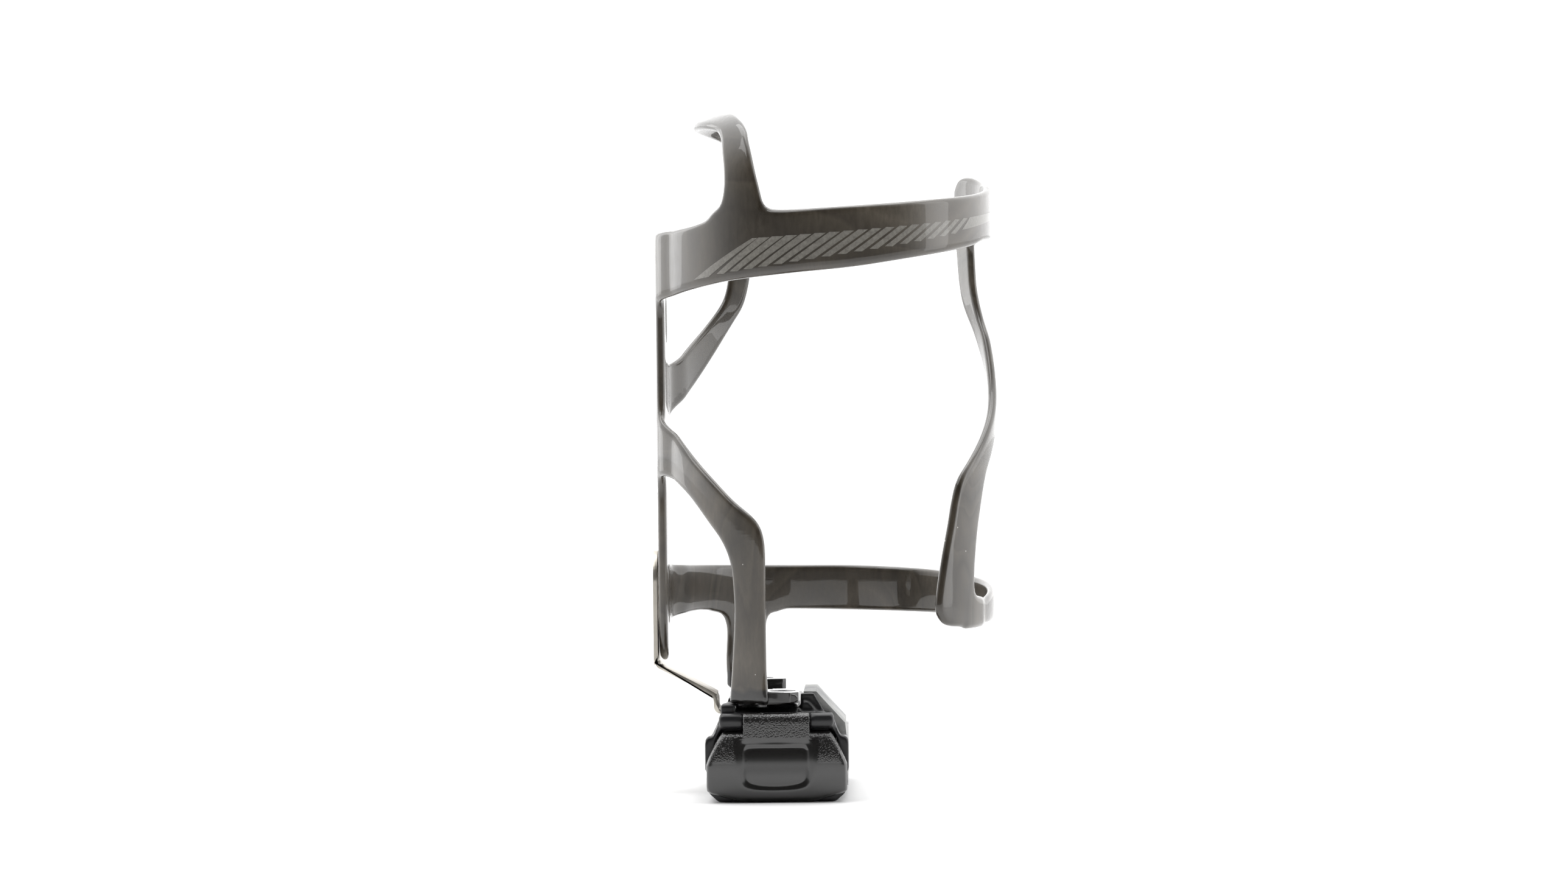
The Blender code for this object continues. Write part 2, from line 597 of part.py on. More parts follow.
def pivot_nut(name, centre, parts, cutters):
    obj = rod(name, "x", centre, 2.6 * MM, XC + 15.0 * MM * KW, XC + 15.8 * MM * KW, parts,
              24)
    cut(obj, rod(name + "_bore", "x", centre, PIVOT_D / 2 + GAP, XC + 14 * MM * KW,
                 XC + 17 * MM * KW, cutters, 20))
    return obj


BITS = (("hex_key_2", 2.0, "near", 1), ("torx_25", 3.6, "far", -1),
        ("hex_key_5", 5.0, "near", 1), ("hex_key_2_5", 2.5, "far", -1),
        ("hex_key_4", 4.0, "far", -1), ("hex_key_3", 3.0, "near", 1))


def bit_width(size):
    return (size * 1.155 + 0.3) * MM * KW


def bits(parts, cutters):
    """Keys side by side between the plates, three folding from each end."""
    low = XC - 11.95 * MM * KW
    high = XC + 13.7 * MM * KW
    room = high - low - sum(bit_width(size) for _, size, _, _ in BITS)
    space = room / (len(BITS) + 1)
    near, far = pivots()
    length = far[0] - near[0] - 8.0 * MM
    x = low + space
    for name, size, end, way in BITS:
        width = bit_width(size)
        y, z = near if end == "near" else far
        root = 4.5 * MM * KH
        obj = rod(name, "x", (y, z), root, x, x + width, parts, 24)
        across = size * MM * KW / math.sqrt(3)
        reach = sorted((y + way * 2.5 * MM, y + way * length))
        if name == "torx_25":
            join(obj, torx(name + "_shank", (x + width / 2, z), 2.2 * MM * KW, *reach,
                           cutters))
        else:
            join(obj, rod(name + "_shank", "y", (x + width / 2, z), across, *reach, cutters,
                          6))
        cut(obj, rod(name + "_bore", "x", (y, z), PIVOT_D / 2 + GAP, x - MM, x + width + MM,
                     cutters, 20))
        x += width + space


def torx(name, centre, radius, start, end, where):
    points = []
    for i in range(24):
        angle = 2 * math.pi * i / 24
        r = radius * (0.88 + 0.12 * math.cos(6 * angle))
        points.append((centre[0] + r * math.cos(angle), centre[1] + r * math.sin(angle)))
    return prism(name, points, "xz", start, end, where, 20)


def hang(piece, pivot):
    """Hangs a piece and its cutters from an empty, where they are."""
    piece.parent = pivot
    piece.matrix_parent_inverse = Matrix.Translation(-pivot.location)
    for step in piece.modifiers:
        if step.type == "BOOLEAN":
            hang(step.object, pivot)


def hang_moving_pieces(parts):
    """Each moving piece hangs from an empty on its joint's axis."""
    near, far = pivots()
    joints = {"door_axis": (hinge_line(), ["holder_door"]),
              "tool_axis": (near, ["tool_plate_left", "tool_plate_right",
                                   "pivot_bolt_near", "pivot_bolt_far",
                                   "pivot_nut_near", "pivot_nut_far"])}
    for name, _, end, _ in BITS:
        joints[name + "_axis"] = (near if end == "near" else far, [name])
    for name, (centre, pieces) in joints.items():
        pivot = bpy.data.objects.new(name, None)
        pivot.location = (XC, *centre)
        parts.objects.link(pivot)
        for piece in pieces:
            hang(bpy.data.objects[piece], pivot)


def main():
    clear_scene()
    parts = new_collection("bottle_cage")
    cutters = new_collection("cutters", True)
    carbon = material("carbon", (0.055, 0.047, 0.037), 0.18, 0.0)
    steel = material("stainless", (0.62, 0.58, 0.52), 0.32, 1.0)
    plastic = material("black_plastic", (0.028, 0.028, 0.031), 0.48, 0.0)
    door_plastic = material("door_plastic", (0.022, 0.022, 0.025), 0.40, 0.0)
    alloy = material("forged_alloy", (0.42, 0.42, 0.42), 0.55, 0.7)
    black_steel = material("black_screw", (0.03, 0.03, 0.03), 0.35, 0.8)
    chrome = material("key_steel", (0.45, 0.45, 0.46), 0.28, 1.0)
    spring = material("spring_wire", (0.5, 0.5, 0.5), 0.3, 1.0)
    cage_body(parts, cutters).data.materials.append(carbon)
    bracket(parts, cutters).data.materials.append(steel)
    holder_body(parts, cutters).data.materials.append(plastic)
    holder_door(parts, cutters).data.materials.append(door_plastic)
    hinge_pin(parts).data.materials.append(steel)
    door_spring(parts).data.materials.append(spring)
    for name, centre in zip(("foot_screw_near", "foot_screw_far"), foot_screws()):
        foot_screw(name, centre, parts, cutters).data.materials.append(black_steel)
    plate("tool_plate_left", -13.95, -11.95 - 0.3, parts, cutters, False)
    plate("tool_plate_right", 14.0, 15.9, parts, cutters, True)
    for end, centre in zip(("near", "far"), pivots()):
        pivot_bolt(f"pivot_bolt_{end}", centre, parts, cutters)
        pivot_nut(f"pivot_nut_{end}", centre, parts, cutters)
    bits(parts, cutters)
    for obj in parts.objects:
        if not obj.data.materials:
            obj.data.materials.append(alloy if "plate" in obj.name else chrome)
    hang_moving_pieces(parts)


main()
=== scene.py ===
"""Bottle cage on its steel bracket, with the tool in its sprung-door holder: the finished looks."""

import math

import bmesh
import bpy
import numpy as np
from mathutils import Matrix, Vector, geometry


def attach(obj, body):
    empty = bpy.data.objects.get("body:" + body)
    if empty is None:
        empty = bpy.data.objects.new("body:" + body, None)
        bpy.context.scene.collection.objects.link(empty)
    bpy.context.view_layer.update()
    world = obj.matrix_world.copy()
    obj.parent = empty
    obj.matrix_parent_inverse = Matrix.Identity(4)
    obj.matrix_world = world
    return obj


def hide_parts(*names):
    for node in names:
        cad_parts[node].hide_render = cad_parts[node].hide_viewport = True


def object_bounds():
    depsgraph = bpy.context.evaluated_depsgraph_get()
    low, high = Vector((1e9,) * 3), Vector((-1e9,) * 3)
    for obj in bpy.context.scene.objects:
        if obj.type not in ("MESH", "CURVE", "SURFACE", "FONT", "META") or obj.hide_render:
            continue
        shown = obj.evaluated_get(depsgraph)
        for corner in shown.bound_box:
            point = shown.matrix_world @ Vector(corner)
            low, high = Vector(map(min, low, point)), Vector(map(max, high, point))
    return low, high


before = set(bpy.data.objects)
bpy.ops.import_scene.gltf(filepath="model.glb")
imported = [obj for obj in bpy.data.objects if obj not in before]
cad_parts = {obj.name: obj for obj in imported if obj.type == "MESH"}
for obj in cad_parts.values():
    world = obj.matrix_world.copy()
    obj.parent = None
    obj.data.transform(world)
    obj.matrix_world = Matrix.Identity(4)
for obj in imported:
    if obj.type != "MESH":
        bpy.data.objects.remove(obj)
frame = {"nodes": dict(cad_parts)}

CAD_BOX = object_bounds()
MM = 0.001

# Sizes, in millimetres
WALL = 2.2
RI = 36.9  # inside radius
RM = RI + WALL / 2
RO = RI + WALL
AX = RO  # the bottle's axis, with the spine's rear face at zero
ZF = -55.4  # underside of the foot
FOOT_T = 2.4
LEG_X = AX + RM * math.cos(math.radians(117.5))
LEG_Y = RM * math.sin(math.radians(117.5))
XC = LEG_X + 6.1  # the holder's centre line
HL = 36.5  # half the holder's length
HOOK_START = 62.0
HOOK_BEND = 17.0
FLAT_Y = 9.2
ROUND_Y = 17.0
STRUT_BOW = 0.8
CUT_AT = 75.0  # degrees round, where the sheet is slit to unroll it
STEP = 0.6
SHEET_LOW = -58.2
SHEET_TALL = 148.8
SPINE_TOP = 51.95
SPINE_TOP_HALF = 13.5
JOIN = 2.6  # how softly one outline runs into the next
LOW_STEP = 0.32  # how much lower the ring and the far strut stand
BOLT_Z = 32  # each frame bolt, above and below the middle
BOLT_R = 2.65
SCREW_R = 1.7
SEAT_R = 3.0
SCREW_BORE_R = 1.75
PIN_BORE_R = 0.9
LEAF_BORE_R = 1.1
HINGE_Y = -HL - 0.4
HINGE_Z = ZF - 3.9
SHELF_R = RO - 0.5
HATCH_R = RO + 0.035

# Outlines of the sheet: degrees round the bottle and millimetres up it
SPINE = [(-180, 51.8), (-171, 52.0), (-166.8, 51.0), (-166.8, 0), (-166.8, -32), (-168, -40),
         (-171, -44.6), (-175, -46.6), (-180, -47.2)]
BAND = ([(-172, 51.9), (-160, 52.0), (-141.8, 52.7), (-131, 54.2), (-120, 56.0),
         (-109.7, 55.8), (-100, 55.6), (-80, 56.3), (-58.4, 57.4), (-27.9, 59.4),
         (-9.9, 61.2), (0, 62.6), (14, 64.0), (24, 65.4), (31, 65.2), (34.5, 62.8)],
        [(35.3, 58), (34, 50.5), (24, 50.0), (4, 50.0), (-16.8, 49.3), (-28.3, 47.7),
         (-58.6, 44.6), (-80.2, 42.5), (-100.4, 41.3), (-122.3, 40.0), (-132.7, 39.1),
         (-150, 37.6), (-161, 36.4), (-172, 34.5)])
FRONT = ([(35, 57), (33.8, 49.4), (32.1, 39.9), (28.9, 34.1), (21.6, 27.9), (12, 19.5),
          (4, 12), (-3.5, 6.0), (-12, 0.6), (-19.7, -5.0), (-25.2, -14.4), (-27.7, -21.3),
          (-29.2, -29.0), (-28.0, -31.8), (-22, -33.2)],
         [(-22, -38.8), (-31.1, -39.2), (-43.0, -38.8), (-47.4, -37.4), (-49.3, -34.0),
          (-46.5, -24.3), (-42.9, -15.6), (-40.7, -10.0), (-37.6, -5.4), (-30.8, -1.2),
          (-19.0, 5.2), (-8, 11.2), (0, 16.8), (6, 22.6), (11, 27.5), (17.5, 32.5),
          (22, 39.0), (23.2, 46.0), (24, 53)])
RING = ([(171, -21.5), (166, -24.0), (159.3, -25.2), (129.5, -25.9), (104.2, -26.3),
         (81.2, -26.5), (56.7, -27.2), (43.6, -27.8), (20, -29.2), (4, -30.4),
         (-12, -32.2), (-22, -33.2), (-34, -33.5)],
        [(-34, -38.8), (-22, -38.8), (0, -38.4), (28, -38.1), (56.9, -37.7), (81.4, -37.3),
         (104.4, -36.9), (137.3, -36.6), (146, -36.5), (158, -37.4), (166, -39.5),
         (171, -42.5)])
NEAR_LEG = ([(-172, 14.5), (-166.5, 10.6), (-160, 7.8), (-147.6, 2.7), (-133.2, -4.3),
             (-123.4, -9.6), (-116.0, -13.2), (-112.8, -15.8), (-111.4, -19.0),
             (-111.1, -22.8), (-111.1, -28.6), (-111.0, -47.7), (-110.2, -55.6)],
            [(-125.2, -55.6), (-123.8, -45.1), (-122.9, -35.5), (-123.5, -27.6),
             (-124.6, -23.4), (-127.5, -19.4), (-132.5, -15.6), (-143.4, -9.0),
             (-156, -4.8), (-163.4, -4.4), (-170, -6.5)])
FAR_LEG = [(136.5, -36.0), (132.4, -37.3), (130.4, -39.6), (129.8, -42.2), (130.3, -48.0),
           (130.0, -52.4), (128.6, -55.6), (114.6, -55.6), (114.2, -50), (114.0, -42.6),
           (113.4, -39.4), (111.9, -37.5), (108.5, -36.3), (112, -31), (136, -31)]
FAR_STRUT = [(170, 5.5), (164, 8.6), (157.8, 11.7), (145.5, 17.8), (135.6, 24.3),
             (125.8, 32.4), (122.0, 36.0), (119.8, 40.2), (118.6, 45), (118, 54), (118, 63),
             (119.5, 69), (127.6, 69), (127.2, 63), (126.8, 52), (127.8, 43.1),
             (130.8, 37.0), (139.4, 31.0), (150.8, 25.5), (159.5, 22.2), (165.5, 22.8),
             (170, 26)]
HOOK_OUT = [(-109.2, 51), (-110.6, 57), (-113.0, 63.4), (-115.2, 68), (-118.0, 72.0),
            (-121.2, 75.6), (-127, 79.0), (-137, 82.6), (-151, 85.4), (-166, 86.9),
            (-180, 87.3), (-194, 86.9), (-209, 85.4), (-222, 82.6), (-231, 79.0),
            (-236.6, 75.6), (-239.8, 72.0), (-241.2, 68), (-241.6, 63.4)]
HOOK_IN = [(-234.4, 64.5), (-232.2, 69.0), (-228.4, 73.2), (-221.5, 76.2), (-210, 77.8),
           (-196, 78.7), (-180, 79.0), (-164, 78.7), (-150, 77.8), (-138.5, 76.2),
           (-131.6, 73.2), (-127.8, 69.0), (-125.6, 64.5), (-125.6, 60.5), (-127.2, 57.0),
           (-131, 54.6), (-131, 50)]


# ---- small helpers

def new_object(name, mesh):
    obj = bpy.data.objects.new(name, mesh)
    bpy.context.scene.collection.objects.link(obj)
    return obj


def mesh_object(name, bm, smooth=40):
    bmesh.ops.recalc_face_normals(bm, faces=bm.faces)
    mesh = bpy.data.meshes.new(name)
    bm.to_mesh(mesh)
    bm.free()
    mesh.shade_smooth()
    if smooth is not None:
        mesh.set_sharp_from_angle(angle=math.radians(smooth))
    return new_object(name, mesh)


def applied(obj):
    """The object's mesh with its modifiers made real."""
    graph = bpy.context.evaluated_depsgraph_get()
    graph.update()
    made = bpy.data.meshes.new_from_object(obj.evaluated_get(graph))
    made.name = obj.name
    obj.modifiers.clear()
    obj.data = made
    return obj


def remove(*objects):
    for obj in objects:
        bpy.data.objects.remove(obj, do_unlink=True)


def bevelled(obj, width, segments=3, angle=32):
    step = obj.modifiers.new("round_edges", "BEVEL")
    step.width = width * MM
    step.segments = segments
    step.limit_method = "ANGLE"
    step.angle_limit = math.radians(angle)
    step.harden_normals = False
    return obj


def combine(obj, other, operation):
    step = obj.modifiers.new(operation, "BOOLEAN")
    step.operation = operation
    step.solver = "EXACT"
    step.object = other
    applied(obj)
    remove(other)
    return obj


def prism(name, points, plane, start, end):
    third = {"xy": 2, "xz": 1, "yz": 0}[plane]
    first, second = [i for i in range(3) if i != third]
    bm = bmesh.new()
    verts = []
    for a, b in points:
        co = [0.0, 0.0, 0.0]
        co[first] = a * MM
        co[second] = b * MM
        co[third] = start * MM
        verts.append(bm.verts.new(co))
    face = bm.faces.new(verts)
    drawn = bmesh.ops.extrude_face_region(bm, geom=[face])
    step = [0.0, 0.0, 0.0]
    step[third] = (end - start) * MM
    moved = [item for item in drawn["geom"] if isinstance(item, bmesh.types.BMVert)]
    bmesh.ops.translate(bm, verts=moved, vec=step)
    return mesh_object(name, bm)


def rod(name, axis, centre, radius, start, end, sides=40):
    points = [(centre[0] + radius * math.cos(2 * math.pi * i / sides),
               centre[1] + radius * math.sin(2 * math.pi * i / sides))
              for i in range(sides)]
    return prism(name, points, {"x": "yz", "y": "xz", "z": "xy"}[axis], start, end)


def cad_copy(node, name):
    """A copy of a CAD node's mesh with its loose triangles merged."""
    bm = bmesh.new()
    bm.from_mesh(frame["nodes"][node].data)
    bmesh.ops.remove_doubles(bm, verts=bm.verts, dist=0.002 * MM)
    bmesh.ops.dissolve_limit(bm, angle_limit=math.radians(0.6), verts=bm.verts,
                             edges=bm.edges)
    return mesh_object(name, bm)


def voxelled(obj, size, rounds):
    """The object as one skin of even cells, its edges softened."""
    step = obj.modifiers.new("skin", "REMESH")
    step.mode = "VOXEL"
    step.voxel_size = size * MM
    step.use_smooth_shade = True
    soft = obj.modifiers.new("soft", "SMOOTH")
    soft.factor = 0.5
    soft.iterations = rounds
    applied(obj)
    obj.data.shade_smooth()
    return obj


def curve_through(points, step):
    """The line through these points, resampled about one step apart."""
    points = np.asarray(points, float)
    ends = np.vstack([points[:1], points, points[-1:]])
    out = []
    for i in range(len(points) - 1):
        p0, p1, p2, p3 = ends[i:i + 4]
        parts = max(1, round(np.linalg.norm(p2 - p1) / step))
        t = (np.arange(parts) / parts)[:, None]
        lead = (2 * t ** 3 - 3 * t ** 2 + 1) * p1 + (t ** 3 - 2 * t ** 2 + t) * (p2 - p0) / 2
        tail = (3 * t ** 2 - 2 * t ** 3) * p2 + (t ** 3 - t ** 2) * (p3 - p1) / 2
        out.append(lead + tail)
    return np.vstack(out + [points[-1:]])


# ---- the moulded cage

def unrolled(points, turn=0):
    return [(math.radians(a + turn) * RM, s) for a, s in points]


def outline_of(*runs, turn=0):
    return np.vstack([curve_through(unrolled(run, turn), 1.2) for run in runs])


def depth_in(points, outline):
    """How far points lie inside the closed outline; negative outside."""
    x, y = points[:, 0], points[:, 1]
    best = np.full(len(points), 1e9)
    inside = np.zeros(len(points), bool)
    for p, q in zip(outline, np.roll(outline, -1, 0)):
        edge = q - p
        length = edge @ edge
        if length < 1e-12:
            continue
        t = np.clip(((x - p[0]) * edge[0] + (y - p[1]) * edge[1]) / length, 0, 1)
        best = np.minimum(best, (x - p[0] - t * edge[0]) ** 2
                          + (y - p[1] - t * edge[1]) ** 2)
        if p[1] != q[1]:
            across = (p[1] > y) != (q[1] > y)
            inside ^= across & (x < p[0] + (y - p[1]) / edge[1] * edge[0])
    return np.where(inside, 1, -1) * np.sqrt(best)


def blended(a, b, room):
    share = np.clip(0.5 + 0.5 * (a - b) / room, 0, 1)
    return b + (a - b) * share + room * share * (1 - share)


def smooth_share(value, low, high):
    t = np.clip((value - low) / (high - low), 0, 1)
    return t * t * (3 - 2 * t)


class Sheet:
    """Depth inside the unrolled sheet, on an even grid, and its shape round the bottle."""

    def __init__(self):
        edge = math.radians(CUT_AT) * RM
        around = 2 * math.pi * RM
        self.columns = round(around / STEP)
        self.du = around / self.columns
        self.u0 = edge - around
        self.s0 = SHEET_LOW
        self.rows = round(SHEET_TALL / STEP)
        u = self.u0 + self.du * np.arange(self.columns + 1)
        s = self.s0 + STEP * np.arange(self.rows + 1)
        grid = np.stack(np.meshgrid(u, s, indexing="ij"), -1).reshape(-1, 2)
        spine = outline_of(SPINE, [(-360 - a, z) for a, z in SPINE][::-1])
        proud = [spine, outline_of(*BAND), outline_of(*FRONT), outline_of(*NEAR_LEG),
                 outline_of(FAR_LEG, turn=-360), outline_of(HOOK_OUT, HOOK_IN)]
        low = [outline_of(*RING), outline_of(*RING, turn=-360),
               outline_of(FAR_STRUT, turn=-360)]
        depth = np.full(len(grid), -1e3)
        for outline in proud:
            depth = blended(depth, depth_in(grid, outline), JOIN)
        self.raised = self.square(smooth_share(depth, -0.5, 0.6))
        for outline in low:
            depth = blended(depth, depth_in(grid, outline), JOIN)
        top = ((np.abs(grid[:, 0] + math.pi * RM) < SPINE_TOP_HALF)
               & (grid[:, 1] < HOOK_START))
        depth = np.where(top, np.minimum(depth, SPINE_TOP - grid[:, 1]), depth)
        for height, reach in ((BOLT_Z, 2.2), (-BOLT_Z, 3.4)):
            across = grid[:, 0] + math.pi * RM
            along = np.maximum(np.abs(grid[:, 1] - height) - reach, 0)
            depth = np.minimum(depth, np.hypot(across, along) - BOLT_R)
        self.depth = self.square(depth)
        self.depth[-1] = self.depth[0]
        self.raised[-1] = self.raised[0]

    def square(self, values):
        return values.reshape(self.columns + 1, self.rows + 1)

    def at(self, table, points):
        x = np.clip((points[:, 0] - self.u0) / self.du, 0, self.columns - 1e-9)
        y = np.clip((points[:, 1] - self.s0) / STEP, 0, self.rows - 1e-9)
        i, j = x.astype(int), y.astype(int)
        x, y = x - i, y - j
        return ((table[i, j] * (1 - x) + table[i + 1, j] * x) * (1 - y)
                + (table[i, j + 1] * (1 - x) + table[i + 1, j + 1] * x) * y)

    def inward(self, points):
        e = 0.35
        du = np.array([e, 0.0])
        ds = np.array([0.0, e])
        grad = np.stack([self.at(self.depth, points + du) - self.at(self.depth, points - du),
                         self.at(self.depth, points + ds) - self.at(self.depth, points - ds)],
                        -1)
        return grad / np.maximum(np.linalg.norm(grad, axis=1), 1e-9)[:, None]

    def rim_lines(self):
        """The lines where the depth is nothing, as chains of points."""
        sign = self.depth > 0
        links = {}

        def crossing(a, b):
            da, db = self.depth[a], self.depth[b]
            t = da / (da - db)
            return (self.u0 + self.du * (a[0] + (b[0] - a[0]) * t),
                    self.s0 + STEP * (a[1] + (b[1] - a[1]) * t))

        mixed = (sign[:-1, :-1] != sign[1:, :-1]) | (sign[:-1, :-1] != sign[:-1, 1:])
        mixed |= sign[:-1, :-1] != sign[1:, 1:]
        for i, j in zip(*np.nonzero(mixed)):
            i, j = int(i), int(j)
            corners = [(i, j), (i + 1, j), (i + 1, j + 1), (i, j + 1)]
            cuts = []
            for a, b in zip(corners, corners[1:] + corners[:1]):
                if sign[a] != sign[b]:
                    cuts.append(tuple(sorted((a, b))))
            for a, b in zip(cuts[::2], cuts[1::2]):
                links.setdefault(a, []).append(b)
                links.setdefault(b, []).append(a)
        chains = []
        left = set(links)
        starts = [key for key in links if len(links[key]) == 1] + list(links)
        for start in starts:
            if start not in left:
                continue
            chain = [start]
            left.discard(start)
            while True:
                after = [key for key in links[chain[-1]] if key in left]
                if not after:
                    break
                chain.append(after[0])
                left.discard(after[0])
            loop = chain[0] in links[chain[-1]] and len(chain) > 2
            points = np.array([crossing(*key) for key in chain])
            if len(points) > 6:
                chains.append((points, loop))
        return chains

    def even_rim(self, points, loop, spacing):
        if loop:
            points = np.vstack([points, points[:1]])
        length = np.concatenate([[0], np.cumsum(np.linalg.norm(np.diff(points, axis=0),
                                                               axis=1))])
        count = max(6, round(length[-1] / spacing))
        where = np.linspace(0, length[-1], count + 1)
        even = np.stack([np.interp(where, length, points[:, k]) for k in (0, 1)], -1)
        fixed = even[[0, -1]].copy()
        for _ in range(4):
            even -= self.inward(even) * self.at(self.depth, even)[:, None]
        if loop:
            return even[:-1]
        even[[0, -1]] = fixed
        return even

    def wrap(self, points):
        """Middle of the wall: the unrolled point carried round the bottle."""
        u, s = points[:, 0], points[:, 1]
        angle = u / RM
        cos, sin = np.cos(angle), np.sin(angle)
        turn = np.maximum(s - HOOK_START, 0) / HOOK_BEND
        radius = RM - HOOK_BEND * (1 - np.cos(turn))
        height = np.where(s > HOOK_START, HOOK_START + HOOK_BEND * np.sin(turn), s)
        radius = radius + STRUT_BOW * np.exp(-((s - 14) / 20) ** 2) * np.maximum(cos, 0)
        x = AX + radius * cos
        y = radius * sin
        share = smooth_share(np.abs(y), FLAT_Y, ROUND_Y)
        flat = (cos < 0) & (s < HOOK_START)
        x = np.where(flat, (AX - RM) * (1 - share) + x * share, x)
        return np.stack([x, y, height], -1)

    def solid(self, spacing=0.85, cell=1.25):
        rims = []
        for points, loop in self.rim_lines():
            rims.append((self.even_rim(points, loop, spacing), loop))
        points = []
        edges = []
        count = 0
        for rim, loop in rims:
            n = len(rim)
            points.append(rim)
            edges += [(count + k, count + k + 1) for k in range(n - 1)]
            if loop:
                edges.append((count + n - 1, count))
            count += n
        on_rim = count
        on_rims = np.vstack(points)
        ends = sorted(rim[k][1] for rim, loop in rims if not loop for k in (0, -1))
        low, high = ends[0], ends[-1]
        steps = np.array([0.12, 0.35, 0.7, 1.1, 1.8])
        seam = np.concatenate([low + steps, np.arange(low + 3, high - 2.6, 1.2),
                               (high - steps)[::-1]])
        for side in (self.u0, self.u0 + self.du * self.columns):
            column = np.stack([np.full(len(seam), side), seam], -1)
            first = int(np.hypot(*(on_rims - (side, low)).T).argmin())
            last = int(np.hypot(*(on_rims - (side, high)).T).argmin())
            points.append(column)
            chain = [first, *range(count, count + len(seam)), last]
            edges += list(zip(chain, chain[1:]))
            count += len(seam)
        inward = self.inward(on_rims)
        for step in steps:
            moved = on_rims + inward * step
            found = self.at(self.depth, moved)
            away = (moved[:, 0] > self.u0 + 0.4) & (moved[:, 0] < self.u0 + self.du
                                                    * self.columns - 0.4)
            moved = moved[(found > 0.75 * step) & (found < 1.35 * step + 0.05) & away]
            points.append(moved)
        u = np.arange(self.u0 + cell, self.u0 + self.du * self.columns - 0.6, cell)
        s = np.arange(self.s0 + cell, self.s0 + STEP * self.rows, cell)
        grid = np.stack(np.meshgrid(u, s, indexing="ij"), -1).reshape(-1, 2)
        points.append(grid[self.at(self.depth, grid) > 2.3])
        points = np.vstack(points)
        result = geometry.delaunay_2d_cdt([Vector(co) for co in points], edges, [], 0, 1e-6)
        flat = np.array([tuple(co) for co in result[0]])
        sources = result[3]
        tris = np.array([face for face in result[2] if len(face) == 3])
        centre = flat[tris].mean(1)
        inside = np.zeros(len(tris), bool)
        for a, b in edges:
            p, q = points[a], points[b]
            if p[1] == q[1]:
                continue
            across = (p[1] > centre[:, 1]) != (q[1] > centre[:, 1])
            inside ^= across & (centre[:, 0] < p[0] + (centre[:, 1] - p[1]) / (q[1] - p[1])
                                * (q[0] - p[0]))
        tris = tris[inside]
        rim = np.array([any(k < on_rim for k in source) for source in sources])
        return flat, tris, rim

    def mesh(self, name):
        flat, tris, rim = self.solid()
        depth = np.where(rim, 0, np.maximum(self.at(self.depth, flat), 0))
        raised = self.at(self.raised, flat)
        round_off = np.sqrt(1 - (1 - np.minimum(depth, 1)) ** 2)
        crown = 0.16 * np.exp(-depth / 1.7)
        outer = round_off * (WALL / 2 - LOW_STEP * (1 - raised) - crown)
        inner = round_off * (WALL / 2 - crown)
        middle = self.wrap(flat)
        e = 0.05
        along_u = self.wrap(flat + [e, 0]) - self.wrap(flat - [e, 0])
        along_s = self.wrap(flat + [0, e]) - self.wrap(flat - [0, e])
        normal = np.cross(along_u, along_s)
        normal /= np.linalg.norm(normal, axis=1)[:, None]
        outside = (middle + normal * outer[:, None]) * MM
        within = (middle - normal * inner[:, None]) * MM
        bm = bmesh.new()
        uv = bm.loops.layers.uv.new("sheet")
        outs = [bm.verts.new(co) for co in outside]
        ins = [outs[i] if rim[i] else bm.verts.new(within[i]) for i in range(len(flat))]
        for tri in tris:
            a, b, c = (int(i) for i in tri)
            if np.cross(flat[b] - flat[a], flat[c] - flat[a]) < 0:
                b, c = c, b
            for side, order in ((outs, (a, b, c)), (ins, (a, c, b))):
                corners = [side[i] for i in order]
                if len(set(corners)) < 3:
                    continue
                try:
                    face = bm.faces.new(corners)
                except ValueError:
                    continue
                for loop, i in zip(face.loops, order):
                    loop[uv].uv = (flat[i][0] * MM, flat[i][1] * MM)
        loose = [vert for vert in bm.verts if not vert.link_faces]
        bmesh.ops.delete(bm, geom=loose, context="VERTS")
        bmesh.ops.remove_doubles(bm, verts=bm.verts, dist=0.004 * MM)
        mesh = bpy.data.meshes.new(name)
        bm.to_mesh(mesh)
        bm.free()
        mesh.shade_smooth()
        return new_object(name, mesh)


def foot_screws():
    inset = LEG_Y - 6.0
    return ((XC + 1.2, -inset), (XC - 4.9, inset))


def foot_shelf():
    back = LEG_X - 4.6
    near = XC + 5.0
    far = near - 3.9
    side = LEG_Y + 1.6
    plan = [(back, -side), (near - 2, -side), (near, -side + 2), (near, -side + 10),
            (near - 2, -side + 12), (back + 6.4, -side + 15), (back + 6.4, side - 13),
            (far - 0.8, side - 12.4), (far, side - 11.6), (far, side - 2), (far - 1.8, side),
            (back, side), (back + 1.4, side - 12), (back + 1.4, -side + 12)]
    shelf = prism("foot_shelf", plan, "xy", ZF, ZF + FOOT_T)
    for i, (x, y) in enumerate(foot_screws()):
        combine(shelf, rod(f"hole_{i}", "z", (x, y), SCREW_R, ZF - 1, ZF + 5), "DIFFERENCE")
        combine(shelf, rod(f"seat_{i}", "z", (x, y), SEAT_R, ZF + 0.9, ZF + 5),
                "DIFFERENCE")
    applied(bevelled(shelf, 0.85, 4))
    nose = [(-12.2, 0.9), (-11.6, 0.35), (-8.6, 0.0), (-5.5, -0.35), (-2.5, -0.5), (1.0, -0.35),
            (4.2, 0.1), (4.85, 0.55), (4.9, 1.2), (4.3, 1.9), (1.6, 2.45), (-1.5, 2.6),
            (-6, 3.6), (-11.6, 3.4)]
    lens = prism("foot_nose", [(XC + a, ZF + c) for a, c in nose], "xz", -side + 0.2,
                 -side + 2.6)
    applied(bevelled(lens, 0.7, 4))
    for part in (shelf, lens):
        combine(part, rod("bore", "z", (AX, 0), SHELF_R, ZF - 4, ZF + 6, 180), "INTERSECT")
    return joined("foot", shelf, lens)


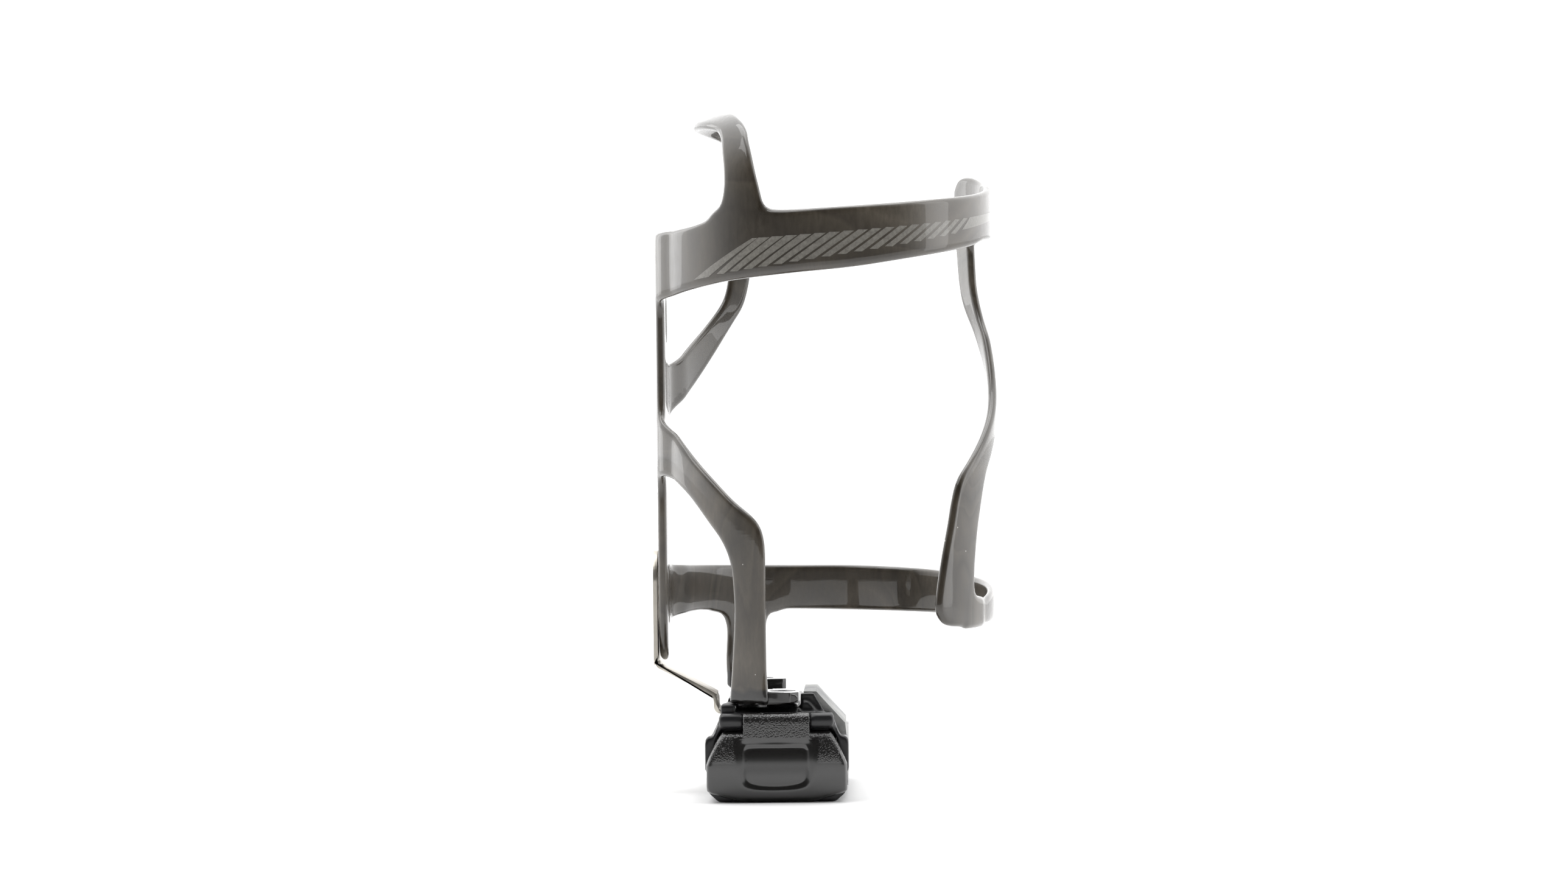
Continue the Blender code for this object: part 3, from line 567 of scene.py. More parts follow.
def joined(name, *objects):
    bm = bmesh.new()
    for obj in objects:
        bm.from_mesh(obj.data)
    mesh = bpy.data.meshes.new(name)
    bm.to_mesh(mesh)
    bm.free()
    remove(*objects)
    mesh.shade_smooth()
    return new_object(name, mesh)


# ---- materials

def shader_of(name, colour, roughness, metallic=0.0, coat=0.0, coat_roughness=0.05):
    made = bpy.data.materials.new(name)
    made.use_nodes = True
    shader = made.node_tree.nodes["Principled BSDF"]
    shader.inputs["Base Color"].default_value = (*colour, 1)
    shader.inputs["Roughness"].default_value = roughness
    shader.inputs["Metallic"].default_value = metallic
    shader.inputs["Coat Weight"].default_value = coat
    shader.inputs["Coat Roughness"].default_value = coat_roughness
    return made, shader


class Nodes:
    """Short ways to add and join shader nodes."""

    def __init__(self, made):
        self.tree = made.node_tree
        self.place = self.add("ShaderNodeTexCoord").outputs["Object"]

    def add(self, kind, **settings):
        node = self.tree.nodes.new(kind)
        for key, value in settings.items():
            setattr(node, key, value)
        return node

    def link(self, a, b):
        self.tree.links.new(a, b)

    def mapped(self, scale, turn=(0, 0, 0), source=None):
        node = self.add("ShaderNodeMapping")
        node.inputs["Scale"].default_value = scale
        node.inputs["Rotation"].default_value = [math.radians(a) for a in turn]
        self.link(source or self.place, node.inputs["Vector"])
        return node.outputs["Vector"]

    def noise(self, scale, detail=3.0, rough=0.5, distortion=0.0, source=None):
        node = self.add("ShaderNodeTexNoise")
        node.inputs["Scale"].default_value = scale
        node.inputs["Detail"].default_value = detail
        node.inputs["Roughness"].default_value = rough
        node.inputs["Distortion"].default_value = distortion
        self.link(source or self.place, node.inputs["Vector"])
        return node.outputs["Fac"]

    def cells(self, scale, feature="F1", source=None):
        node = self.add("ShaderNodeTexVoronoi", feature=feature)
        node.inputs["Scale"].default_value = scale
        self.link(source or self.place, node.inputs["Vector"])
        return node.outputs["Distance"]

    def ramp(self, value, *stops):
        node = self.add("ShaderNodeValToRGB")
        ramp = node.color_ramp
        while len(ramp.elements) < len(stops):
            ramp.elements.new(0.5)
        for element, (position, colour) in zip(ramp.elements, stops):
            element.position = position
            if isinstance(colour, (int, float)):
                colour = (colour,) * 3
            element.color = (*colour, 1)
        self.link(value, node.inputs["Fac"])
        return node.outputs["Color"]

    def math(self, operation, a, b=0.0, clamp=False):
        node = self.add("ShaderNodeMath", operation=operation, use_clamp=clamp)
        for socket, value in zip(node.inputs, (a, b)):
            if isinstance(value, (int, float)):
                socket.default_value = value
            else:
                self.link(value, socket)
        return node.outputs["Value"]

    def mix(self, share, a, b, blend="MIX"):
        node = self.add("ShaderNodeMix", data_type="RGBA", blend_type=blend)
        for socket, value in ((node.inputs[0], share), (node.inputs[6], a),
                              (node.inputs[7], b)):
            if isinstance(value, tuple):
                socket.default_value = (*value, 1)
            elif isinstance(value, (int, float)):
                socket.default_value = value
            else:
                self.link(value, socket)
        return node.outputs[2]

    def axis(self, name):
        node = self.add("ShaderNodeSeparateXYZ")
        self.link(self.place, node.inputs["Vector"])
        return node.outputs[name]

    def bump(self, height, distance, strength=1.0, normal=None):
        node = self.add("ShaderNodeBump")
        node.inputs["Strength"].default_value = strength
        node.inputs["Distance"].default_value = distance * MM
        self.link(height, node.inputs["Height"])
        if normal is not None:
            self.link(normal, node.inputs["Normal"])
        return node.outputs["Normal"]


def carbon_finish():
    made, shader = shader_of("clear_coated_carbon", (0.04, 0.034, 0.026), 0.32, 0.0, 1.0, 0.03)
    n = Nodes(made)
    flow = n.noise(20, 2.0, 0.45, 1.1)
    bands = n.math("PINGPONG", n.math("MULTIPLY", flow, 4.0), 0.5)
    cloud = n.ramp(bands, (0.0, (0.024, 0.018, 0.011)), (0.2, (0.052, 0.042, 0.029)),
                   (0.24, (0.036, 0.028, 0.019)), (0.5, (0.075, 0.062, 0.045)))
    fibre = n.noise(420, 3.0, 0.6, 0.0, n.mapped((3.0, 3.0, 0.8), (0, 18, 8)))
    tint = n.ramp(fibre, (0.35, 0.88), (0.68, 1.12))
    colour = n.mix(1.0, cloud, tint, "MULTIPLY")
    # painted shade: the lowest few millimetres of the cage, round its foot where it sits on the
    # holder, are painted near-black below a wavy noise edge
    edge = n.math("ADD", n.axis("Z"), n.math("MULTIPLY", n.noise(95, 2.0), 9 * MM))
    foot = n.math("MULTIPLY", n.math("SUBTRACT", (ZF + 8.6) * MM, edge), 1 / (0.9 * MM),
                  clamp=True)
    colour = n.mix(foot, colour, (0.006, 0.005, 0.004))
    speck = n.math("LESS_THAN", n.cells(330), 0.055)
    rare = n.math("GREATER_THAN", n.noise(60, 0.0), 0.66)
    colour = n.mix(n.math("MULTIPLY", speck, rare), colour, (0.55, 0.53, 0.5))
    n.link(colour, shader.inputs["Base Color"])
    n.link(n.ramp(fibre, (0.3, 0.30), (0.7, 0.44)), shader.inputs["Roughness"])
    soft = n.bump(n.noise(110, 1.5, 0.4, 0.6), 0.05, 0.5)
    scratch = n.noise(900, 2.0, 0.7, 0.0, n.mapped((0.12, 0.12, 2.2), (12, 40, 0)))
    n.link(n.bump(scratch, 0.006, 0.35, soft), shader.inputs["Coat Normal"])
    n.link(n.bump(fibre, 0.01, 0.3), shader.inputs["Normal"])
    return made


def hatch_finish():
    made, shader = shader_of("pale_hatch_paint", (0.17, 0.16, 0.14), 0.34, 0.0, 1.0, 0.05)
    n = Nodes(made)
    grain = n.noise(1400, 2.0, 0.7)
    n.link(n.ramp(grain, (0.3, (0.130, 0.122, 0.106)), (0.7, (0.205, 0.195, 0.172))),
           shader.inputs["Base Color"])
    n.link(n.ramp(grain, (0.3, 0.3), (0.7, 0.42)), shader.inputs["Roughness"])
    n.link(n.bump(grain, 0.004, 0.3), shader.inputs["Normal"])
    return made


def steel_finish(name, colour, along, roughness=0.3):
    made, shader = shader_of(name, colour, roughness, 1.0)
    n = Nodes(made)
    brush = n.noise(700, 3.0, 0.7, 0.0, n.mapped(along))
    cloud = n.noise(120, 2.0)
    low = tuple(c * 0.8 for c in colour)
    high = tuple(min(c * 1.12, 1) for c in colour)
    n.link(n.mix(cloud, low, high), shader.inputs["Base Color"])
    n.link(n.ramp(brush, (0.3, roughness - 0.07), (0.7, roughness + 0.12)),
           shader.inputs["Roughness"])
    n.link(n.bump(brush, 0.012, 0.5), shader.inputs["Normal"])
    return made


def plastic_finish(name, colour, roughness, grain_size, grain_depth):
    made, shader = shader_of(name, colour, roughness)
    n = Nodes(made)
    grain = n.noise(1000 / grain_size, 3.0, 0.6)
    dust = n.noise(55, 4.0, 0.6)
    low = tuple(c * 0.82 for c in colour)
    high = tuple(c * 1.25 for c in colour)
    n.link(n.mix(dust, low, high), shader.inputs["Base Color"])
    n.link(n.ramp(dust, (0.3, roughness - 0.05), (0.7, roughness + 0.08)),
           shader.inputs["Roughness"])
    n.link(n.bump(grain, grain_depth, 0.7), shader.inputs["Normal"])
    return made


def door_finish():
    """Pebbled near the hinge and on the shoulders, smooth in the pocket and below."""
    made, shader = shader_of("pebbled_door_plastic", (0.006, 0.0055, 0.005), 0.3)
    n = Nodes(made)
    side = n.math("ABSOLUTE", n.math("SUBTRACT", n.axis("X"), XC * MM))
    height = n.axis("Z")
    upper = n.math("MULTIPLY", n.math("SUBTRACT", height, (ZF - 13.2) * MM), 1 / (2.2 * MM),
                   clamp=True)
    beside = n.math("MULTIPLY", n.math("SUBTRACT", side, 9.0 * MM), 1 / (0.7 * MM), clamp=True)
    above = n.math("MULTIPLY", n.math("SUBTRACT", height, (ZF - 7.9) * MM), 1 / (0.5 * MM),
                   clamp=True)
    rough = n.math("MULTIPLY", upper, n.math("MAXIMUM", beside, above))
    pebble = n.math("SUBTRACT", 1.0, n.cells(3100, "SMOOTH_F1"))
    fine = n.noise(3600, 1.5, 0.5)
    relief = n.math("ADD", pebble, n.math("MULTIPLY", fine, 0.4))
    depth = n.math("MULTIPLY", relief, rough)
    n.link(n.bump(depth, 0.12, 1.0), shader.inputs["Normal"])
    dust = n.noise(70, 4.0, 0.6)
    n.link(n.mix(dust, (0.006, 0.0056, 0.0052), (0.016, 0.0155, 0.015)),
           shader.inputs["Base Color"])
    n.link(n.ramp(rough, (0.0, 0.2), (1.0, 0.24)), shader.inputs["Roughness"])
    shader.inputs["Specular IOR Level"].default_value = 1.0
    return made


def alloy_finish():
    made, shader = shader_of("sand_cast_alloy", (0.36, 0.36, 0.36), 0.55, 0.55)
    n = Nodes(made)
    grain = n.noise(1500, 3.0, 0.7)
    cloud = n.noise(140, 3.0, 0.6)
    n.link(n.mix(n.ramp(cloud, (0.35, 0.0), (0.65, 1.0)), (0.27, 0.275, 0.28),
                 (0.46, 0.46, 0.45)), shader.inputs["Base Color"])
    n.link(n.ramp(grain, (0.3, 0.45), (0.7, 0.68)), shader.inputs["Roughness"])
    n.link(n.bump(grain, 0.05, 0.7), shader.inputs["Normal"])
    return made


def wear(obj, made):
    obj.data.materials.clear()
    obj.data.materials.append(made)
    return obj


# ---- the other pieces

def bracket():
    half = 0.475
    side_y, round_z = 7, -28.6
    low = XC - 14.65
    line = curve_through([(-0.775, -21.6), (-0.775, -45.9), (-0.6, -47.1), (-0.08, -48.15),
                          (1.06, -48.85), (low - 1.16, ZF + 0.9), (low - 0.37, ZF + 0.18),
                          (low - 0.03, ZF - 0.88), (low, ZF - 2.2), (low + 0.3, ZF - 3.1),
                          (low + 1.26, ZF - 3.58), (low + 3.2, ZF - 3.6)], 0.45)
    way = np.gradient(line, axis=0)
    way /= np.linalg.norm(way, axis=1)[:, None]
    side = np.stack([-way[:, 1], way[:, 0]], -1) * half
    outline = np.vstack([line + side, (line - side)[::-1]])
    strip = prism("bracket_strip", outline, "xz", -side_y, side_y)
    arch = [(-8, round_z), (-8, -20), (8, -20), (8, round_z), (side_y, round_z)]
    for i in range(1, 32):
        turn = math.pi * i / 32
        arch.append((side_y * math.cos(turn), round_z + side_y * math.sin(turn)))
    arch.append((-side_y, round_z))
    combine(strip, prism("arch", arch, "yz", -3, 3), "DIFFERENCE")
    combine(strip, rod("bolt_hole", "x", (0, -BOLT_Z), BOLT_R, -3, 3), "DIFFERENCE")
    bevelled(strip, 0.14, 2, 50)
    applied(strip)
    strip.data.shade_smooth()
    strip.data.set_sharp_from_angle(angle=math.radians(50))
    return strip


def skin_between(name, outline, back, front, cell):
    """A closed body over a front-view outline, from a flat back to a shaped front."""
    outline = np.asarray(outline, float)
    low, high = outline.min(0), outline.max(0)
    a = np.arange(low[0] + cell / 2, high[0], cell)
    c = np.arange(low[1] + cell / 2, high[1], cell)
    grid = np.stack(np.meshgrid(a, c, indexing="ij"), -1).reshape(-1, 2)
    grid = grid[depth_in(grid, outline) > 0.45 * cell]
    points = np.vstack([outline, grid])
    rim = list(range(len(outline)))
    made = geometry.delaunay_2d_cdt([Vector(co) for co in points], [], [rim], 1, 1e-7)
    flat = np.array([tuple(co) for co in made[0]])
    height = front(flat)
    bm = bmesh.new()
    fronts = [bm.verts.new(((XC + a) * MM, y * MM, (ZF + c) * MM))
              for (a, c), y in zip(flat, height)]
    backs = [bm.verts.new(((XC + a) * MM, back * MM, (ZF + c) * MM)) for a, c in flat]
    borders = {}
    for face in made[2]:
        bm.faces.new([fronts[i] for i in face])
        bm.faces.new([backs[i] for i in reversed(face)])
        for i, j in zip(face, face[1:] + face[:1]):
            if (j, i) in borders:
                del borders[(j, i)]
            else:
                borders[(i, j)] = True
    for i, j in borders:
        bm.faces.new((fronts[j], fronts[i], backs[i], backs[j]))
    loose = [vert for vert in bm.verts if not vert.link_faces]
    bmesh.ops.delete(bm, geom=loose, context="VERTS")
    return mesh_object(name, bm)


def door_moulding():
    half = [(0, -21.9), (6.5, -21.9), (8.9, -21.75), (12.4, -20.75), (15.0, -19.95),
            (15.7, -19.4), (15.8, -18.6), (15.8, -13.4), (15.3, -12.0), (13.9, -9.0),
            (12.6, -6.9), (12.1, -6.3), (11.4, -6.12), (8.6, -6.1), (0, -6.1)]
    right = np.vstack([curve_through(half[i:i + 2], 0.4)[:-1] for i in range(len(half) - 1)])
    outline = np.vstack([right, (right * [-1, 1])[::-1][:-1]])
    scoop = curve_through([(-9.0, -9.4), (-8.5, -8.1), (-7.4, -7.5), (0, -7.2), (7.0, -7.5),
                           (8.1, -8.2), (8.6, -9.7), (8.7, -14.6), (7.7, -17.8),
                           (5.1, -19.3), (0, -19.8), (-5.1, -19.4), (-7.9, -18.2),
                           (-8.9, -15.2), (-9.0, -9.4)], 0.3)[:-1]
    panel = curve_through([(-7.5, -10.4), (-7.1, -9.6), (-5.9, -9.2), (0, -9.15),
                           (5.9, -9.2), (6.9, -9.8), (7.2, -10.6), (7.2, -15.0),
                           (6.6, -17.3), (5.0, -18.4), (0, -18.9), (-5.0, -18.6),
                           (-6.9, -17.3), (-7.5, -15.0), (-7.5, -10.4)], 0.3)[:-1]
    levels = np.array([(-22.0, 1.3), (-21.2, 2.1), (-19.4, 3.25), (-16.6, 3.9),
                       (-13.6, 4.08), (-11.0, 3.9), (-8.4, 3.3), (-7.0, 2.75), (-6.2, 2.3),
                       (-5.6, 1.9)])
    fine = curve_through(levels, 0.3)

    def front(flat):
        crown = np.interp(flat[:, 1], fine[:, 0], fine[:, 1])
        rim = np.minimum(np.maximum(depth_in(flat, outline), 0) / 1.25, 1)
        crown = crown - 1.25 * (1 - np.sqrt(1 - (1 - rim) ** 2))
        crown = crown - 0.0022 * flat[:, 0] ** 2
        crown -= 0.55 * smooth_share(depth_in(flat, scoop), -0.2, 1.7)
        low = smooth_share(flat[:, 1], -19.2, -13.5)
        crown -= (0.1 + 0.3 * low) * smooth_share(depth_in(flat, panel), -0.1, 0.5)
        return -HL - 0.3 - np.maximum(crown, 0.25)

    door = skin_between("door_moulding", outline, -HL - 0.3, front, cell=0.36)
    y, z = HINGE_Y, HINGE_Z
    leaf = curve_through([(y - 2.75, z - 4.4), (y - 2.9, z - 1.4), (y - 2.9, z + 0.2),
                          (y - 2.4, z + 1.35), (y - 1.2, z + 1.9), (y + 0.4, z + 1.8),
                          (y + 1.6, z + 0.8), (y + 1.85, z - 0.4), (y + 1.2, z - 1.5),
                          (y - 0.4, z - 2.0), (y - 0.8, z - 4.4)], 0.4)
    tab = prism("leaf", leaf, "yz", XC - 7.46, XC + 7.46)
    applied(bevelled(tab, 0.35, 2, 60))
    combine(door, tab, "UNION")
    combine(door, rod("pin_bore", "x", (y, z), LEAF_BORE_R, XC - 9, XC + 9), "DIFFERENCE")
    cut_box(door, (-13.0, -HL - 1.5, -18.4), (13.0, -HL + 1, -8.4))
    cut_box(door, (-3.2, y - 1.7, -8.0), (3.2, y + 4, -2.1))
    return voxelled(door, size=0.2, rounds=4)


def block(name, low, high, round_off=0.0):
    """A box between two corners given from the holder's centre line and the foot."""
    points = [(XC + low[0], ZF + low[2]), (XC + high[0], ZF + low[2]),
              (XC + high[0], ZF + high[2]), (XC + low[0], ZF + high[2])]
    made = prism(name, points, "xz", low[1], high[1])
    if round_off:
        applied(bevelled(made, round_off, 3))
    return made


def cut_box(obj, low, high):
    combine(obj, block("cutter", low, high), "DIFFERENCE")


def holder_shell():
    extra = []
    for sign in (-1, 1):
        lobe = [(sign * a, c) for a, c in ((13.4, -7.3), (15.2, -7.3), (15.85, -7.55),
                                           (16.12, -8.2), (16.12, -14.8), (15.7, -15.8),
                                           (13.4, -16.4))]
        part = prism("lobe", [(XC + a, ZF + c) for a, c in lobe], "xz", -HL + 0.05, -31)
        extra.append(applied(bevelled(part, 0.5, 3)))
        a, b = sorted((sign * 12.95, sign * 7.7))
        extra.append(block("knuckle", (a, -38.65, -5.0), (b, -35.2, -2.3), 0.85))
        a, b = sorted((sign * 13.2, sign * 7.3))
        extra.append(block("lintel", (a, -34.8, -7.9), (b, -33.8, -4.6)))
    deck = [(-34.6, -3.6), (-34.3, -2.15), (-33.2, -2.0), (-30.6, -1.15), (33.5, -1.15),
            (34.2, -3.4)]
    slab = prism("deck_top", [(y, ZF + c) for y, c in deck], "yz", XC - 12.3, XC + 5.0)
    applied(bevelled(slab, 0.3, 2))
    cut_box(slab, (-16, -7.5, -5), (-10.8, 7.5, 0))
    extra.append(slab)
    extra.append(block("deck_corner", (-12.6, -34.3, -3.2), (-9.3, -28, -0.2), 0.45))
    stop = [(5.15, -2.6), (5.9, 0.15), (7.0, 0.1), (9.3, -2.4)]
    plate = prism("stop_face", [(XC + a, ZF + c) for a, c in stop], "xz", -31.3, -29.5)
    extra.append(applied(bevelled(plate, 0.2, 2)))
    core = cad_copy("holder_body", "holder_core")
    for sign in (-1, 1):
        corner = [(XC + sign * a, ZF + c) for a, c in ((13.3, -23), (13.3, -21.95),
                                                       (15.1, -20.3), (15.6, -19.5),
                                                       (17, -19.5), (17, -23))]
        combine(core, prism("corner", corner, "xz", -HL - 5, HL + 5), "DIFFERENCE")
    shell = voxelled(joined("holder_shell", core, *extra), size=0.4, rounds=2)
    for i, (x, y) in enumerate(foot_screws()):
        combine(shell, rod(f"bore_{i}", "z", (x, y), SCREW_BORE_R, ZF - 6, ZF + 1),
                "DIFFERENCE")
    combine(shell, rod("pin_bore", "x", (HINGE_Y, HINGE_Z), PIN_BORE_R, XC - 14, XC + 14),
            "DIFFERENCE")
    return shell


def hatch_tree():
    """Slanted stripes printed round the band."""
    tree = bpy.data.node_groups.new("slanted_hatch", "GeometryNodeTree")
    face = tree.interface
    face.new_socket("Geometry", in_out="OUTPUT", socket_type="NodeSocketGeometry")
    sizes = {"Stripes": ("NodeSocketInt", 17), "Axis X": ("NodeSocketFloat", AX * MM),
             "Radius": ("NodeSocketFloat", HATCH_R * MM),
             "First top": ("NodeSocketFloat", -111.6), "Top pitch": ("NodeSocketFloat", 4.79),
             "First bottom": ("NodeSocketFloat", -128.0),
             "Bottom pitch": ("NodeSocketFloat", 5.36),
             "Material": ("NodeSocketMaterial", None)}
    for name, (kind, value) in sizes.items():
        socket = face.new_socket(name, in_out="INPUT", socket_type=kind)
        if value is not None:
            socket.default_value = value
    nodes, links = tree.nodes, tree.links
    given = nodes.new("NodeGroupInput")
    out = nodes.new("NodeGroupOutput")

    def put(socket, value):
        if isinstance(value, (int, float)):
            socket.default_value = value
        else:
            links.new(value, socket)

    def calc(operation, a, b=0.0, c=0.0):
        node = nodes.new("ShaderNodeMath")
        node.operation = operation
        for socket, value in zip(node.inputs, (a, b, c)):
            put(socket, value)
        return node.outputs[0]

    def between(a, b, share):
        return calc("MULTIPLY_ADD", calc("SUBTRACT", b, a), share, a)

    grid = nodes.new("GeometryNodeMeshGrid")
    for name, value in (("Size X", 0.98), ("Size Y", 1.0), ("Vertices X", 4),
                        ("Vertices Y", 14)):
        grid.inputs[name].default_value = value
    row = nodes.new("GeometryNodeMeshLine")
    row.inputs["Offset"].default_value = (1, 0, 0)
    links.new(given.outputs["Stripes"], row.inputs["Count"])
    copies = nodes.new("GeometryNodeInstanceOnPoints")
    links.new(row.outputs["Mesh"], copies.inputs["Points"])
    links.new(grid.outputs["Mesh"], copies.inputs["Instance"])
    real = nodes.new("GeometryNodeRealizeInstances")
    links.new(copies.outputs["Instances"], real.inputs["Geometry"])
    place = nodes.new("GeometryNodeInputPosition")
    split = nodes.new("ShaderNodeSeparateXYZ")
    links.new(place.outputs[0], split.inputs[0])
    x = calc("ADD", split.outputs["X"], 0.5)
    v = calc("ADD", split.outputs["Y"], 0.5)
    k = calc("FLOOR", x)
    u = calc("SUBTRACT", x, k)
    top = calc("MULTIPLY_ADD", k, given.outputs["Top pitch"], given.outputs["First top"])
    bottom = calc("MULTIPLY_ADD", k, given.outputs["Bottom pitch"],
                  given.outputs["First bottom"])
    wide = between(calc("MULTIPLY_ADD", k, -0.035, 3.2), calc("MULTIPLY_ADD", k, -0.11, 4.1), v)
    angle = calc("RADIANS", calc("MULTIPLY_ADD", u, wide, between(bottom, top, v)))
    square = calc("MULTIPLY", k, k)
    s_top = calc("MULTIPLY_ADD", square, 0.0085, calc("MULTIPLY_ADD", k, 0.15, 49.4))
    s_low = calc("MULTIPLY_ADD", square, 0.008, calc("MULTIPLY_ADD", k, 0.42, 41.5))
    height = calc("MULTIPLY", between(s_low, s_top, v), MM)
    spot = nodes.new("ShaderNodeCombineXYZ")
    links.new(calc("MULTIPLY_ADD", calc("COSINE", angle), given.outputs["Radius"],
                   given.outputs["Axis X"]), spot.inputs["X"])
    links.new(calc("MULTIPLY", calc("SINE", angle), given.outputs["Radius"]),
              spot.inputs["Y"])
    links.new(height, spot.inputs["Z"])
    moved = nodes.new("GeometryNodeSetPosition")
    links.new(real.outputs["Geometry"], moved.inputs["Geometry"])
    links.new(spot.outputs[0], moved.inputs["Position"])
    painted = nodes.new("GeometryNodeSetMaterial")
    links.new(moved.outputs["Geometry"], painted.inputs["Geometry"])
    links.new(given.outputs["Material"], painted.inputs["Material"])
    links.new(painted.outputs["Geometry"], out.inputs["Geometry"])
    return tree


def hatch(paint):
    obj = new_object("band_hatch", bpy.data.meshes.new("band_hatch"))
    step = obj.modifiers.new("stripes", "NODES")
    tree = hatch_tree()
    step.node_group = tree
    for item in tree.interface.items_tree:
        if item.name == "Material":
            step[item.identifier] = paint
    applied(obj)
    patches = [((-138.7, 40.4), (-131.5, 40.9), (-111.9, 49.3), (-113.8, 49.3)),
               ((-36.1, 51.2), (-8.0, 54.4), (-6.0, 56.4), (-31.1, 54.2))]
    bm = bmesh.new()
    bm.from_mesh(obj.data)
    for a, b, c, d in patches:
        across, up = 12, 12
        rows = []
        for j in range(up + 1):
            v = j / up
            row = []
            for i in range(across + 1):
                u = i / across
                low = Vector(a).lerp(Vector(b), u)
                high = Vector(d).lerp(Vector(c), u)
                angle, s = low.lerp(high, v)
                angle = math.radians(angle)
                row.append(bm.verts.new(((AX + HATCH_R * math.cos(angle)) * MM,
                                         HATCH_R * math.sin(angle) * MM, s * MM)))
            rows.append(row)
        for low, high in zip(rows, rows[1:]):
            for i in range(across):
                bm.faces.new((low[i], low[i + 1], high[i + 1], high[i]))
    for face in bm.faces:
        face.normal_update()
        mid = face.calc_center_median()
        if face.normal.dot(mid - Vector((AX * MM, 0, mid.z))) < 0:
            face.normal_flip()
    bm.to_mesh(obj.data)
    bm.free()
    obj.data.shade_smooth()
    return wear(obj, paint)


# ---- the studio

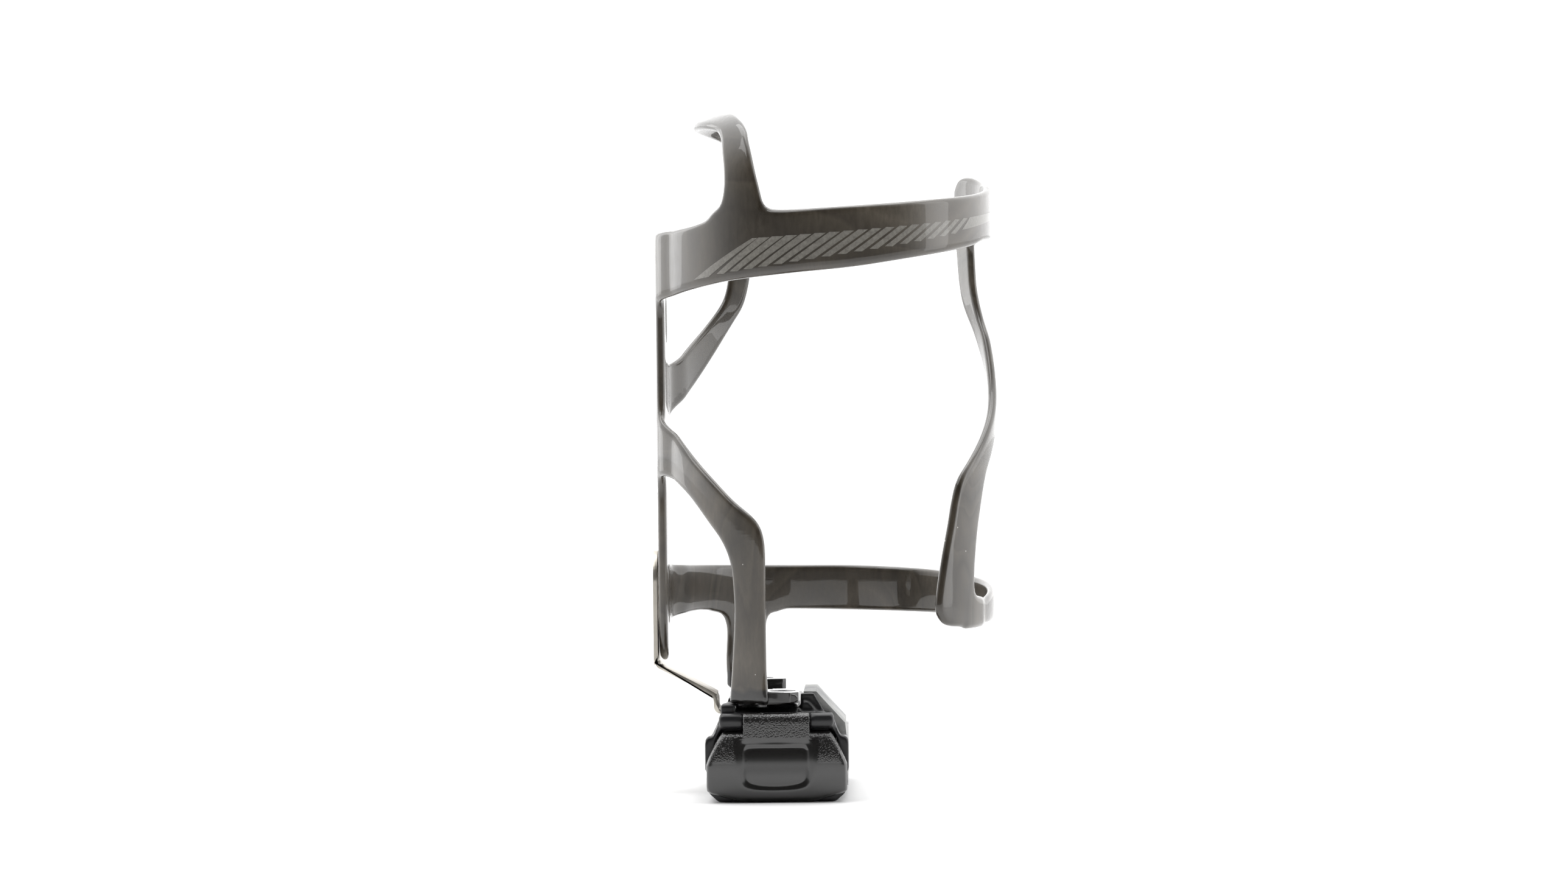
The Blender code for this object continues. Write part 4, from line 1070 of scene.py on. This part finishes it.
def studio():
    scene = bpy.context.scene
    az = math.radians(1.1)
    roll = math.radians(0.6)
    away = 1.01497
    right = Vector((math.cos(az), math.sin(az), 0))
    up = Vector((0, 0, 1))
    ahead = Vector((-math.sin(az), math.cos(az), 0))
    x_axis = right * math.cos(roll) - up * math.sin(roll)
    y_axis = right * math.sin(roll) + up * math.cos(roll)
    looked_at = Vector((0.0293, 0, 0.0036))
    place = looked_at - ahead * away
    data = bpy.data.cameras.new("camera")
    data.lens = 100
    data.sensor_width = 36
    data.clip_start = 0.05
    data.clip_end = 20
    camera = bpy.data.objects.new("camera", data)
    scene.collection.objects.link(camera)
    camera.matrix_world = Matrix((
        (x_axis.x, y_axis.x, -ahead.x, place.x), (x_axis.y, y_axis.y, -ahead.y, place.y),
        (x_axis.z, y_axis.z, -ahead.z, place.z), (0, 0, 0, 1)))
    scene.camera = camera
    floor_z = CAD_BOX[0].z - 0.00005
    bm = bmesh.new()
    bmesh.ops.create_grid(bm, x_segments=1, y_segments=1, size=6)
    bmesh.ops.translate(bm, verts=bm.verts, vec=(0, 0, floor_z))
    floor = mesh_object("floor", bm)
    pale, shader = shader_of("pale_floor", (0.93, 0.93, 0.93), 0.7)
    n = Nodes(pale)
    n.link(n.mix(n.noise(30, 2.0), (0.92, 0.92, 0.92), (0.95, 0.95, 0.95)),
           shader.inputs["Base Color"])
    wear(floor, pale)
    lamps = (("key", (-0.35, -0.3, 0.85), 0.5, 0.4, 1.6),
             ("side", (0.8, -0.1, 0.3), 0.3, 0.8, 1.0),
             ("top", (0.05, 0.2, 0.95), 0.9, 0.5, 3.0),
             ("rim", (-0.7, 0.45, 0.25), 0.3, 0.8, 1.0))
    for name, spot, wide, tall, power in lamps:
        light = bpy.data.lights.new(name, "AREA")
        light.shape = "RECTANGLE"
        light.size = wide
        light.size_y = tall
        light.energy = power
        lamp = bpy.data.objects.new(name, light)
        lamp.location = spot
        aim = Vector((0.03, 0, 0)) - Vector(spot)
        lamp.rotation_euler = aim.to_track_quat("-Z", "Y").to_euler()
        scene.collection.objects.link(lamp)
    world = bpy.data.worlds.new("white_room")
    scene.world = world
    world.use_nodes = True
    tree = world.node_tree
    back = tree.nodes["Background"]
    way = tree.nodes.new("ShaderNodeTexCoord")
    split = tree.nodes.new("ShaderNodeSeparateXYZ")
    tree.links.new(way.outputs["Generated"], split.inputs[0])
    room = tree.nodes.new("ShaderNodeMapRange")
    room.interpolation_type = "SMOOTHSTEP"
    for name, value in (("From Min", -0.7), ("From Max", 0.2), ("To Min", 0.05),
                        ("To Max", 1.8)):
        room.inputs[name].default_value = value
    tree.links.new(split.outputs["Y"], room.inputs["Value"])
    path = tree.nodes.new("ShaderNodeLightPath")
    level = tree.nodes.new("ShaderNodeMix")
    level.inputs["B"].default_value = 1.5
    tree.links.new(path.outputs["Is Camera Ray"], level.inputs["Factor"])
    tree.links.new(room.outputs["Result"], level.inputs["A"])
    back.inputs["Color"].default_value = (1, 1, 1, 1)
    tree.links.new(level.outputs["Result"], back.inputs["Strength"])
    scene.view_settings.view_transform = "Standard"


def main():
    nodes = frame["nodes"]
    carbon = carbon_finish()
    stainless = steel_finish("brushed_stainless", (0.60, 0.565, 0.50), (0.15, 3.0, 1.0), 0.34)
    black = plastic_finish("satin_black_plastic", (0.011, 0.011, 0.012), 0.33, 0.3, 0.02)
    door_black = door_finish()
    alloy = alloy_finish()
    screw_black = steel_finish("black_oxide_steel", (0.035, 0.035, 0.037), (1, 1, 1), 0.4)
    key_steel = steel_finish("satin_key_steel", (0.42, 0.42, 0.43), (3.0, 0.1, 3.0), 0.3)
    wire = steel_finish("spring_wire", (0.5, 0.5, 0.5), (1, 1, 1), 0.3)
    pin = steel_finish("ground_pin_steel", (0.16, 0.16, 0.16), (0.1, 3.0, 3.0), 0.35)

    cage = joined("cage_moulding", Sheet().mesh("cage_sheet"), foot_shelf())
    wear(cage, carbon)
    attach(cage, "cage")
    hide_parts("cage_body")

    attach(hatch(hatch_finish()), "cage")

    strip = wear(bracket(), stainless)
    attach(strip, "cage")
    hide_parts("steel_bracket")

    body = wear(holder_shell(), black)
    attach(body, "cage")
    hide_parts("holder_body")

    door = wear(door_moulding(), door_black)
    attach(door, "door")
    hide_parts("holder_door")

    for side in ("left", "right"):
        plate = cad_copy(f"tool_plate_{side}", f"tool_side_{side}")
        applied(bevelled(plate, 0.25, 2))
        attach(wear(plate, alloy), "tool")
        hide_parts(f"tool_plate_{side}")

    finishes = {"hinge_pin": pin, "door_spring": wire, "foot_screw": screw_black,
                "pivot_bolt": screw_black, "pivot_nut": screw_black, "hex_key": key_steel,
                "torx": key_steel}
    for name, node in nodes.items():
        for start, made in finishes.items():
            if name.startswith(start):
                wear(node, made)

    studio()


main()
